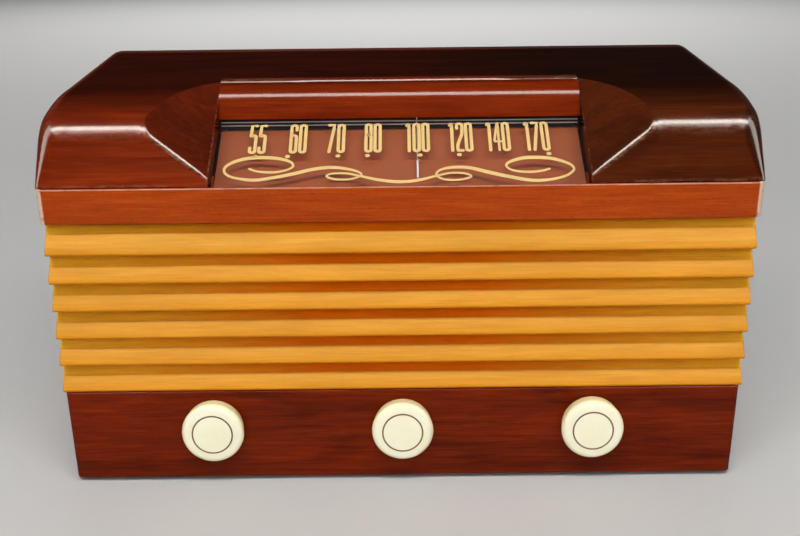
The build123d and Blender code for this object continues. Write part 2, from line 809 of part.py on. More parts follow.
with BuildPart() as tuning_bushing:
    with BuildSketch(facing(chassis_y[0] + sheet + bushing_head)):
        with Locations((tune_x, knob_z)):
            Circle(bushing_diameter / 2 + bushing_head_rim)
    extrude(amount=bushing_head)
    with BuildSketch(facing(chassis_y[0] + sheet)):
        with Locations((tune_x, knob_z)):
            Circle(bushing_diameter / 2)
    extrude(amount=bushing_length)
    with BuildSketch(facing(chassis_y[0] + sheet + bushing_head)):
        with Locations((tune_x, knob_z)):
            Circle(shaft_diameter / 2 + running_gap)
    extrude(amount=bushing_length + bushing_head, mode=Mode.SUBTRACT)
finish(tuning_bushing, "tuning_bushing")

with BuildPart() as control_nuts:
    with BuildSketch(facing(chassis_y[0])):
        with Locations((-knob_spacing, knob_z), (0, knob_z), (tune_x, knob_z)):
            RegularPolygon(nut_width / 2, 6, major_radius=False)
            Circle(bushing_diameter / 2 + running_gap, mode=Mode.SUBTRACT)
    extrude(amount=nut_thickness)
finish(control_nuts, "control_nuts")

control_end = chassis_y[0] + sheet + control_depth - control_rear_wall - shaft_end_gap
shaft_ends = {
    "volume_shaft": (-knob_spacing, control_end),
    "tone_shaft": (0.0, control_end),
    "tuning_shaft": (tune_x, tab_y + sheet + rotor_overhang),
}
for name, (x, rear_y) in shaft_ends.items():
    with BuildPart() as shaft:
        with BuildSketch(facing(rear_y)):
            with Locations((x, knob_z)):
                Circle(shaft_diameter / 2)
        extrude(amount=rear_y - shaft_nose)
        # the flat that the knob's spring bears on
        with BuildSketch(facing(shaft_nose + shaft_flat_length)):
            with Locations((x, knob_z + shaft_diameter / 2)):
                Rectangle(shaft_diameter, shaft_flat_depth * 2)
        extrude(amount=shaft_flat_length, mode=Mode.SUBTRACT)
    finish(shaft, name)

for name, x in (("knob_volume", -knob_spacing), ("knob_tone", 0.0), ("knob_tuning", tune_x)):
    with BuildPart() as knob:
        knob_axis = Axis((x, knob_face, knob_z), (0, 1, 0))
        with BuildSketch(Plane((x, knob_face, knob_z), x_dir=(1, 0, 0), z_dir=(0, 0, 1))) as knob_section:
            radius = knob_diameter / 2
            Polygon(
                (0, 0), (radius, 0), (radius - knob_back_taper, knob_length),
                (radius - knob_back_taper - knob_wall, knob_length), (radius - knob_wall - knob_inner_taper, knob_floor),
                (shaft_diameter, knob_floor), (shaft_diameter, knob_length - knob_hub_setback),
                (0, knob_length - knob_hub_setback), align=None,
            )
            rounded = knob_section.vertices().filter_by(lambda v: abs(v.X - x - radius) < 0.01)
            fillet(rounded, knob_edge_radius)
            with Locations((knob_ring_radius, 0)):
                Rectangle(knob_ring_width, knob_ring_depth, mode=Mode.SUBTRACT)
        revolve(axis=knob_axis)
        with BuildSketch(facing(knob_face + knob_length)):
            with Locations((x, knob_z)):
                Circle(shaft_diameter / 2 + running_gap)
        extrude(amount=knob_length - knob_wall - shaft_nose_gap * 0.75, mode=Mode.SUBTRACT)
    finish(knob, name)

# ---- tuning gang, drum and strings --------------------------------------------------
axis_y = Axis((gang_x, 0, gang_z), (0, 1, 0))
shaft_radius = shaft_diameter / 2
with BuildPart() as gang_frame:
    frame_low = chassis_top
    frame_high = gang_z + vane_radius + gang_top_gap
    with BuildSketch(Plane.YZ.offset(gang_x)):
        with Locations(((gang_y[0] + gang_y[1]) / 2, (frame_low + frame_high) / 2)):
            Rectangle(gang_length, frame_high - frame_low)
        with Locations(((gang_y[0] + gang_y[1]) / 2, (frame_low + frame_high) / 2 + gang_plate)):
            Rectangle(gang_length - gang_plate * 2, frame_high - frame_low, mode=Mode.SUBTRACT)
    extrude(amount=gang_width / 2, both=True)
    with BuildSketch(facing(gang_y[1])):
        with Locations((gang_x, gang_z)):
            Circle(shaft_radius + running_gap)
    extrude(amount=gang_length, mode=Mode.SUBTRACT)
finish(gang_frame, "gang_frame")

section_pitch = gang_length / 2
vane_starts = [gang_y[0] + section_pitch * (k + 0.5) - vane_pitch * vane_count / 2 for k in range(2)]
with BuildPart() as gang_stator:
    for start in vane_starts:
        for k in range(vane_count + 1):
            y = start + vane_pitch * k + vane_thickness / 2
            with BuildSketch(facing(y)):
                with Locations((gang_x, gang_z)):
                    Circle(vane_radius + stator_margin)
                    Circle(shaft_radius + stator_hole_margin, mode=Mode.SUBTRACT)
                with Locations((gang_x + vane_radius, gang_z)):
                    Rectangle(vane_radius * 2, vane_radius * 4, mode=Mode.SUBTRACT)
            extrude(amount=vane_thickness)
    with BuildSketch(facing(gang_y[1] - gang_plate)):
        with Locations((gang_x - vane_radius - stator_margin, gang_z)):
            Rectangle(stator_bar_width, stator_bar_height)
    extrude(amount=gang_length - gang_plate * 2)
finish(gang_stator, "gang_stator")

with BuildPart() as gang_rotor:
    rotor_end = gang_y[1] + rotor_overhang
    with BuildSketch(facing(rotor_end)):
        with Locations((gang_x, gang_z)):
            Circle(shaft_radius)
    extrude(amount=rotor_end - (drum_y - drum_width / 2 - rotor_overhang))
    for start in vane_starts:
        for k in range(vane_count):
            y = start + vane_pitch * (k + 0.5) + vane_thickness / 2
            with BuildSketch(facing(y)):
                with Locations((gang_x, gang_z)):
                    Circle(vane_radius - rotor_margin)
                with Locations((gang_x + vane_radius + rotor_margin * 2, gang_z)):
                    Rectangle(vane_radius * 2, vane_radius * 4, mode=Mode.SUBTRACT)
            extrude(amount=vane_thickness)
finish(gang_rotor, "gang_rotor")

with BuildPart() as tuning_drum:
    with BuildSketch(Plane((gang_x, drum_y, gang_z), x_dir=(1, 0, 0), z_dir=(0, 0, 1))):
        Polygon((0, -drum_width / 2), (drum_rim, -drum_width / 2), (drum_rim, drum_width / 2), (0, drum_width / 2),
                align=None)
        for y in (string_y - drum_y, drive_y - drum_y):
            with Locations((drum_rim - groove_depth / 2, y)):
                Rectangle(groove_depth, cord_diameter + seat_gap * 2, mode=Mode.SUBTRACT)
    revolve(axis=axis_y)
    with BuildSketch(facing(drum_y + drum_width)):
        with Locations((gang_x, gang_z)):
            Circle(shaft_radius + running_gap)
            with PolarLocations(drum_radius * drum_hole_circle, 6):
                Circle(drum_radius * drum_hole_size)
    extrude(amount=drum_width * 2, mode=Mode.SUBTRACT)
finish(tuning_drum, "tuning_drum")


def belt(wheels, y):
    """Closed loop of tangent lines and arcs round wheels (x, z, radius) given clockwise from the front."""
    lines = []
    for k, (x1, z1, r1) in enumerate(wheels):
        x2, z2, r2 = wheels[(k + 1) % len(wheels)]
        span = sqrt((x2 - x1) ** 2 + (z2 - z1) ** 2)
        ux, uz = (x2 - x1) / span, (z2 - z1) / span
        drop = (r1 - r2) / span
        rise_part = sqrt(1 - drop * drop)
        nx, nz = ux * drop - uz * rise_part, uz * drop + ux * rise_part
        lines.append(((x1 + nx * r1, z1 + nz * r1), (x2 + nx * r2, z2 + nz * r2), (x2, z2, r2)))
    edges = []
    with BuildLine(facing(y)) as loop:
        for k, (start, end, (x, z, radius)) in enumerate(lines):
            after = lines[(k + 1) % len(lines)][0]
            Line(start, end)
            swing = degrees(atan2(after[1] - z, after[0] - x)) - degrees(atan2(end[1] - z, end[0] - x))
            CenterArc((x, z), radius, degrees(atan2(end[1] - z, end[0] - x)), -(-swing % 360))
    return loop


def string_loop(wheels, y):
    """Cord of round section swept round a belt loop."""
    loop = belt(wheels, y)
    start = loop.wires()[0] @ 0
    with BuildPart() as string:
        add(loop)
        with BuildSketch(Plane(start, z_dir=loop.wires()[0] % 0)):
            Circle(cord_diameter / 2)
        sweep()
    length = loop.wires()[0].length
    print("string", round(length, 1), round(string.part.volume / (length * pi * cord_diameter**2 / 4), 4))
    return string


grip_radius = shaft_radius + seat_gap + cord_diameter / 2
pointer_cord = string_loop(
    [(-idler_offset, idler_z, idler_radius), (idler_offset, idler_z, idler_radius), (gang_x, gang_z, drum_radius)],
    string_y,
)
finish(pointer_cord, "pointer_cord")
drive_cord = string_loop([(gang_x, gang_z, drum_radius), (tune_x, knob_z, grip_radius)], drive_y)
finish(drive_cord, "drive_cord")
print("drum radius", drum_radius, "shaft ratio", drum_radius / grip_radius, "idler ratio", drum_radius / idler_radius)

# ---- tubes, cans and transformer ----------------------------------------------------
with BuildPart() as tube_sockets:
    with BuildSketch(Plane.XY.offset(chassis_top)):
        with Locations(*tube_places):
            Circle(socket_diameter / 2)
    extrude(amount=socket_height)
finish(tube_sockets, "tube_sockets")

with BuildPart() as tube_bases:
    with BuildSketch(Plane.XY.offset(chassis_top + socket_height)):
        with Locations(*tube_places):
            Circle(tube_base_diameter / 2)
    extrude(amount=tube_base_height)
finish(tube_bases, "tube_bases")

bulb_z = chassis_top + socket_height + tube_base_height
with BuildPart() as tube_bulbs:
    with BuildSketch(Plane.XY.offset(bulb_z)):
        with Locations(*tube_places):
            Circle(tube_bulb_diameter / 2)
    extrude(amount=tube_bulb_height)
    fillet(tube_bulbs.faces().group_by(Axis.Z)[-1].edges(), tube_bulb_diameter * 0.4)
finish(tube_bulbs, "tube_bulbs")

with BuildPart() as coil_cans:
    with BuildSketch(Plane.XY.offset(chassis_top)):
        with Locations(*can_places):
            RectangleRounded(coil_can_size, coil_can_size, 3)
    extrude(amount=coil_can_height)
    fillet(coil_cans.faces().group_by(Axis.Z)[-1].edges(), 2)
finish(coil_cans, "coil_cans")

filter_place = (filter_x, front + second_row_setback)
with BuildPart() as filter_can:
    with BuildSketch(Plane.XY.offset(chassis_top)):
        with Locations(filter_place):
            Circle(filter_can_diameter / 2)
    extrude(amount=filter_can_height)
    fillet(filter_can.faces().group_by(Axis.Z)[-1].edges(), 2)
finish(filter_can, "filter_can")

transformer_place = (chassis_half - transformer_inset, front + second_row_setback)
with BuildPart() as transformer_core:
    with BuildSketch(facing(transformer_place[1] + core_depth / 2)):
        with Locations((transformer_place[0], chassis_top + core_height / 2)):
            Rectangle(core_width, core_height)
            with GridLocations(core_limb + core_window, 1, 2, 1):
                Rectangle(core_window, window_height, mode=Mode.SUBTRACT)
    extrude(amount=core_depth)
finish(transformer_core, "transformer_core")

with BuildPart() as transformer_coil:
    with BuildSketch(Plane.XY.offset(chassis_top + (core_height - window_height) / 2 + seat_gap)):
        with Locations(transformer_place):
            RectangleRounded(coil_width, coil_depth, 3)
            Rectangle(core_limb + running_gap * 2, core_depth + running_gap * 2, mode=Mode.SUBTRACT)
    extrude(amount=window_height - seat_gap * 2)
finish(transformer_coil, "transformer_coil")

# ---- loudspeaker and grille ---------------------------------------------------------
speaker_z = (panel_top + rail_bottom) / 2
cloth_y = block_back + cloth_thickness
baffle_y = cloth_y + baffle_thickness
grille_low = panel_top + baffle_inset
grille_high = rail_bottom - baffle_inset + baffle_margin
grille_half = half_width(panel_top) - side_thickness - baffle_margin
with BuildPart() as grille_cloth:
    with BuildSketch(facing(cloth_y)):
        with Locations((0, (grille_low + grille_high) / 2)):
            Rectangle(grille_half * 2, grille_high - grille_low)
    extrude(amount=cloth_thickness)
finish(grille_cloth, "grille_cloth")

with BuildPart() as speaker_baffle:
    with BuildSketch(facing(baffle_y)):
        with Locations((0, (grille_low + grille_high) / 2)):
            Rectangle(grille_half * 2, grille_high - grille_low)
        with Locations((speaker_x, speaker_z)):
            Circle(cone_radius + 2, mode=Mode.SUBTRACT)
    extrude(amount=baffle_thickness)
finish(speaker_baffle, "speaker_baffle")

with BuildPart() as speaker_basket:
    with BuildSketch(Plane((speaker_x, baffle_y, speaker_z), x_dir=(1, 0, 0), z_dir=(0, 0, 1))):
        Polygon(
            (cone_radius + 1.5, 0), (speaker_radius, 0), (speaker_radius, frame_sheet), (cone_radius + 3, frame_sheet),
            (basket_back_radius + frame_sheet, basket_depth), (0, basket_depth), (0, basket_depth - frame_sheet),
            (basket_back_radius, basket_depth - frame_sheet), align=None,
        )
    revolve(axis=Axis((speaker_x, baffle_y, speaker_z), (0, 1, 0)))
    with BuildSketch(facing(baffle_y + basket_depth - basket_slot_end)):
        with Locations((speaker_x, speaker_z)):
            with PolarLocations(cone_radius - basket_slot_inset, 4, start_angle=45):
                SlotOverall(basket_slot_length, basket_slot_width, rotation=90)
    extrude(amount=basket_depth - basket_slot_end * 2, mode=Mode.SUBTRACT)
finish(speaker_basket, "speaker_basket")

cone_depth = basket_depth - cone_shortfall
cone_rim = cone_radius + frame_sheet - seat_gap * 4
coil_end = basket_depth - frame_sheet * 2
with BuildPart() as speaker_cone:
    with BuildSketch(Plane((speaker_x, baffle_y, speaker_z), x_dir=(1, 0, 0), z_dir=(0, 0, 1))):
        Polygon(
            (cone_radius - cone_edge, paper), (cone_rim, paper), (cone_rim, paper * 2), (cone_radius - cone_edge, paper * 2),
            (voice_coil_radius, cone_depth + paper), (voice_coil_radius, coil_end),
            (voice_coil_radius - 1, coil_end), (voice_coil_radius - 1, cone_depth), align=None,
        )
    revolve(axis=Axis((speaker_x, baffle_y, speaker_z), (0, 1, 0)))
finish(speaker_cone, "speaker_cone")

with BuildPart() as speaker_dust_cap:
    cap_y = baffle_y + cone_depth - dust_cap_rise
    with BuildSketch(Plane((speaker_x, cap_y, speaker_z), x_dir=(1, 0, 0), z_dir=(0, 0, 1))):
        Polygon(
            (0, 0), (dust_cap_radius * 0.54, paper), (dust_cap_radius, dust_cap_rise),
            (dust_cap_radius, dust_cap_rise + paper), (dust_cap_radius - paper, dust_cap_rise + paper),
            (dust_cap_radius * 0.5, paper * 2), (0, paper), align=None,
        )
    revolve(axis=Axis((speaker_x, cap_y, speaker_z), (0, 1, 0)))
finish(speaker_dust_cap, "speaker_dust_cap")

with BuildPart() as speaker_magnet:
    with BuildSketch(facing(baffle_y + basket_depth + magnet_depth)):
        with Locations((speaker_x, speaker_z)):
            Circle(magnet_radius)
    extrude(amount=magnet_depth)
    fillet(speaker_magnet.faces().group_by(Axis.Y)[-1].edges(), 2)
finish(speaker_magnet, "speaker_magnet")

# ---- back ---------------------------------------------------------------------------
cover_face = back - back_inset
grommet_at = (-inner_half * grommet_place, floor_z + grommet_height)
cover_top = top - hood_wall - back_gap
with BuildPart() as back_cover:
    low_half = half_width(floor_z) - side_thickness - back_gap
    high_half = min(half_width(seam) - side_thickness, cabinet_width / 2 - hood_wall) - back_gap
    with BuildSketch(facing(cover_face)):
        Polygon(
            (-low_half, floor_z + back_gap), (low_half, floor_z + back_gap), (high_half, seam),
            (high_half, cover_top), (-high_half, cover_top), (-high_half, seam), align=None,
        )
        with Locations((0, chassis_top + vent_level)):
            with GridLocations(low_half * 2 / (vent_columns + 1), vent_row_pitch, vent_columns, vent_rows):
                Circle(vent_diameter / 2, mode=Mode.SUBTRACT)
        for x in (-screw_x, screw_x):
            for z in screw_z:
                with Locations((x, z)):
                    Circle(screw_radius + screw_hole_gap, mode=Mode.SUBTRACT)
        with Locations(grommet_at):
            Circle(grommet_hole, mode=Mode.SUBTRACT)
    extrude(amount=back_thickness)
finish(back_cover, "back_cover")

with BuildPart() as back_screws:
    for x in (-screw_x, screw_x):
        for z in screw_z:
            with BuildSketch(facing(cover_face + screw_head_height)):
                with Locations((x, z)):
                    Circle(screw_head_radius)
            extrude(amount=screw_head_height)
            with BuildSketch(facing(cover_face)):
                with Locations((x, z)):
                    Circle(screw_radius)
            extrude(amount=back_thickness + cleat_size * 0.8)
finish(back_screws, "back_screws")

with BuildPart() as cord_grommet:
    with BuildSketch(Plane((grommet_at[0], cover_face, grommet_at[1]), x_dir=(1, 0, 0), z_dir=(0, 0, 1))):
        Polygon(
            (grommet_bore, grommet_lip), (grommet_hole + grommet_lip, grommet_lip), (grommet_hole + grommet_lip, 0),
            (grommet_hole - running_gap, 0),
            (grommet_hole - running_gap, -back_thickness), (grommet_hole + grommet_lip, -back_thickness),
            (grommet_hole + grommet_lip, -back_thickness - grommet_lip), (grommet_bore, -back_thickness - grommet_lip),
            align=None,
        )
    revolve(axis=Axis((grommet_at[0], cover_face, grommet_at[1]), (0, 1, 0)))
finish(cord_grommet, "cord_grommet")

antenna_width = (low_half - antenna_side_margin) * 2
with BuildPart() as loop_antenna:
    with BuildSketch(facing(cover_face - back_thickness)):
        with Locations((0, chassis_top + vent_level)):
            RectangleRounded(antenna_width, antenna_height, antenna_corner)
            RectangleRounded(antenna_width - antenna_band * 2, antenna_height - antenna_band * 2,
                             antenna_corner - antenna_band * 0.8, mode=Mode.SUBTRACT)
    extrude(amount=antenna_thickness)
finish(loop_antenna, "loop_antenna")

print("pointer travel", pointer_low - pointer_rest, pointer_low + pointer_travel - pointer_rest, "at", pointer_rest)
print("gang axis", gang_x, gang_z, "idlers", idler_offset, string_y, idler_z, "knobs", knob_spacing, knob_z)
print("grommet", grommet_at, cover_face, "feet", foot_x, foot_y, "chassis top", chassis_top, "seam", seam, "top", top)
print(len(exported), "nodes; front", front, "back", back, "knob face", knob_face)
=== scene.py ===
import bpy
import bmesh
import numpy as np
from math import atan, cos, pi, radians, sin, tan
from mathutils import Matrix, Vector


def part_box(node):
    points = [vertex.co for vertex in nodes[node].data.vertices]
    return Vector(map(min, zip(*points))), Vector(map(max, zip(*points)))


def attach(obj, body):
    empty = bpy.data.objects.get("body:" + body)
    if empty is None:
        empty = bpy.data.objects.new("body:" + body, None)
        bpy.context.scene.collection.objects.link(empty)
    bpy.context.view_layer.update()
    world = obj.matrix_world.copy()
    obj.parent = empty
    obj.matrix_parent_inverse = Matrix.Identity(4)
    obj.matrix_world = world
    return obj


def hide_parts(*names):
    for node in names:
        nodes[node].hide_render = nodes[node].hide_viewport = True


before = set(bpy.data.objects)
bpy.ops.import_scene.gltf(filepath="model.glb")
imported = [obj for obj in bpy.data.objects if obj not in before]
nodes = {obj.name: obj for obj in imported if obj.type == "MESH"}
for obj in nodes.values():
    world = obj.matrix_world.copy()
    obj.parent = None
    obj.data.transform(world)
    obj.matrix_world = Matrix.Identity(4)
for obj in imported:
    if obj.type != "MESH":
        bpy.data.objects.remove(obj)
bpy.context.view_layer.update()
scene = bpy.context.scene
print("frame loaded with", len(nodes), "nodes")


# meshes from arrays

def gridFaces(columns, rows, closedRows=False):
    # quads between each column of points and the next; closed rows join the last point to the first
    lastRow = rows if closedRows else rows - 1
    i, j = np.meshgrid(np.arange(columns - 1), np.arange(lastRow), indexing="ij")
    k = (j + 1) % rows
    return np.stack([i * rows + j, (i + 1) * rows + j, (i + 1) * rows + k, i * rows + k], -1).reshape(-1, 4)


def putMesh(name, points, faces, body, slotName, materials, wearAndSheen=None, faceFinish=None, sharp=35):
    # makes the object, merges doubled points, turns faces outward and rides it on its body
    mesh = bpy.data.meshes.new(name)
    mesh.from_pydata(np.asarray(points, float).reshape(-1, 3), [], [list(f) for f in faces])
    if wearAndSheen is not None:
        layer = mesh.attributes.new("wearAndSheen", "FLOAT", "POINT")
        layer.data.foreach_set("value", np.asarray(wearAndSheen, np.float32).ravel())
    for material in materials:
        mesh.materials.append(material)
    if faceFinish is not None:
        mesh.polygons.foreach_set("material_index", np.asarray(faceFinish, np.int32))
    shape = bmesh.new()
    shape.from_mesh(mesh)
    bmesh.ops.remove_doubles(shape, verts=shape.verts, dist=2e-6)
    bmesh.ops.recalc_face_normals(shape, faces=shape.faces)
    shape.to_mesh(mesh)
    shape.free()
    mesh.shade_smooth()
    mesh.set_sharp_from_angle(angle=radians(sharp))
    piece = bpy.data.objects.new(name, mesh)
    scene.collection.objects.link(piece)
    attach(piece, body)
    return piece


def loft(name, sections, body, slotName, material, wearAndSheen=None):
    # closed sections one after another, joined by quads and capped at both ends
    columns, rows = sections.shape[:2]
    faces = list(gridFaces(columns, rows, closedRows=True))
    faces += [np.arange(rows), np.arange(rows) + (columns - 1) * rows]
    return putMesh(name, sections, faces, body, slotName, [material], wearAndSheen)


def lathe(name, profile, centre, segments, body, slotName, materials, rowFinish=None):
    # a profile of (radius, distance behind the face) turned about an axis that runs front to back
    profile = np.asarray(profile, float)
    turn = np.linspace(0, 2 * pi, segments, endpoint=False)
    across = profile[:, None, 0] * np.cos(turn)
    upward = profile[:, None, 0] * np.sin(turn)
    depth = np.repeat(profile[:, 1:2], segments, axis=1)
    points = np.stack([across, depth, upward], -1) + np.asarray(centre)
    finish = None if rowFinish is None else np.repeat(rowFinish, segments)
    faces = gridFaces(len(profile), segments, closedRows=True)
    return putMesh(name, points, faces, body, slotName, materials, faceFinish=finish)


def roundCorners(corners, radii, steps=5, support=0.0005):
    # each corner of a closed outline becomes an arc that starts and ends one tangent length away,
    # with one more point beyond it on each side; the mask for pale edges, worn and painted, is 1 on the arc
    # and 0 beyond
    corners = np.asarray(corners, float)
    radii = np.broadcast_to(radii, len(corners))
    before = np.roll(corners, 1, axis=0) - corners
    after = np.roll(corners, -1, axis=0) - corners
    lengthBefore = np.linalg.norm(before, axis=1)
    lengthAfter = np.linalg.norm(after, axis=1)
    before /= lengthBefore[:, None]
    after /= lengthAfter[:, None]
    turn = pi - np.arccos(np.clip((before * after).sum(1), -1, 1))
    room = 0.4 * np.minimum(lengthBefore, lengthAfter)
    tangent = np.minimum(radii * np.tan(turn / 2), room)
    further = np.minimum(tangent + support, room * 1.1)
    turn = np.maximum(turn, 1e-6)
    middle = before + after
    middle /= np.maximum(np.linalg.norm(middle, axis=1, keepdims=True), 1e-9)
    centre = corners + middle * (tangent / np.sin(turn / 2))[:, None]
    start = (corners + before * tangent[:, None] - centre)[:, None]
    end = (corners + after * tangent[:, None] - centre)[:, None]
    s, angle = np.linspace(0, 1, steps + 1)[None, :, None], turn[:, None, None]
    curve = centre[:, None] + (np.sin((1 - s) * angle) * start + np.sin(s * angle) * end) / np.sin(angle)
    first = (corners + before * further[:, None])[:, None]
    last = (corners + after * further[:, None])[:, None]
    outline = np.concatenate([first, curve, last], axis=1).reshape(-1, 2)
    wearAndSheen = np.zeros((len(corners), steps + 3))
    wearAndSheen[:, 1:-1] = (radii > 0)[:, None]
    return outline, wearAndSheen.ravel()


# procedural finishes

def put(tree, kind, settings=None, **inputs):
    # adds a node; inputs are constants or the outputs of other nodes
    node = tree.nodes.new(kind)
    for key, value in (settings or {}).items():
        setattr(node, key, value)
    for key, value in inputs.items():
        socket = node.inputs[int(key[2:])] if key.startswith("in") and key[2:].isdigit() else node.inputs[key]
        if isinstance(value, bpy.types.NodeSocket):
            tree.links.new(value, socket)
        else:
            socket.default_value = value
    return node


def ramp(tree, factor, *stops):
    # colour ramp with (place, colour) stops
    node = put(tree, "ShaderNodeValToRGB", Fac=factor)
    elements = node.color_ramp.elements
    while len(elements) < len(stops):
        elements.new(0.5)
    for element, (place, colour) in zip(elements, stops):
        element.position = place
        element.color = (*colour, 1) if len(colour) == 3 else colour
    return node.outputs["Color"]


def grey(value):
    return (value, value, value)


def mixColour(tree, factor, first, second, blend="MIX"):
    node = tree.nodes.new("ShaderNodeMix")
    node.data_type = "RGBA"
    node.blend_type = blend
    for place, value in ((0, factor), (6, first), (7, second)):
        if isinstance(value, bpy.types.NodeSocket):
            tree.links.new(value, node.inputs[place])
        else:
            node.inputs[place].default_value = value if place == 0 else (*value[:3], 1)
    return node.outputs[2]


def newFinish(name, **sockets):
    # a material with one Principled shader; returns it with its tree and shader
    material = bpy.data.materials.new(name)
    material.use_nodes = True
    tree = material.node_tree
    tree.nodes.clear()
    shader = put(tree, "ShaderNodeBsdfPrincipled")
    for key, value in sockets.items():
        shader.inputs[key].default_value = value
    output = put(tree, "ShaderNodeOutputMaterial", Surface=shader.outputs[0])
    output.name = "output"
    return material, tree, shader


def stretched(tree, scale, shift=(0, 0, 0)):
    # object coordinates, scaled apart along each axis
    place = put(tree, "ShaderNodeTexCoord")
    mapping = put(tree, "ShaderNodeMapping", Vector=place.outputs["Object"])
    mapping.inputs["Scale"].default_value = scale
    mapping.inputs["Location"].default_value = shift
    return mapping.outputs["Vector"]


def noise(tree, vector, detail=3.0, roughness=0.5, distortion=0.0):
    node = put(tree, "ShaderNodeTexNoise", Vector=vector, Scale=1.0, Detail=detail, Roughness=roughness)
    node.inputs["Distortion"].default_value = distortion
    return node.outputs["Fac"]


def bump(tree, shader, height, distance, strength=1.0):
    node = put(tree, "ShaderNodeBump", Height=height, Distance=distance, Strength=strength)
    tree.links.new(node.outputs["Normal"], shader.inputs["Normal"])


def calculate(tree, operation, *values):
    # one step of arithmetic on numbers or the outputs of other nodes
    inputs = {f"in{place}": value for place, value in enumerate(values)}
    return put(tree, "ShaderNodeMath", {"operation": operation}, **inputs).outputs[0]


def scaled(tree, value, factor, plus=0.0):
    return calculate(tree, "MULTIPLY_ADD", value, factor, plus)


def placeAlong(tree, axis):
    # the object coordinate along one axis
    place = put(tree, "ShaderNodeTexCoord").outputs["Object"]
    return put(tree, "ShaderNodeSeparateXYZ", Vector=place).outputs[axis]


def facing(tree, axis):
    # how far the surface faces along one axis, from -1 to 1
    normal = put(tree, "ShaderNodeNewGeometry").outputs["Normal"]
    return put(tree, "ShaderNodeSeparateXYZ", Vector=normal).outputs[axis]


def tinted(tree, colour, tint, share=1.0):
    return mixColour(tree, share, colour, tint, "MULTIPLY")


def bands(tree, direction, pitch, distortion):
    # even bands one pitch apart: at a scale of 1 they repeat after pi / 10
    place = put(tree, "ShaderNodeTexCoord").outputs["Object"]
    return put(tree, "ShaderNodeTexWave", {"bands_direction": direction}, Vector=place,
               Scale=pi / 10 / pitch, Distortion=distortion)


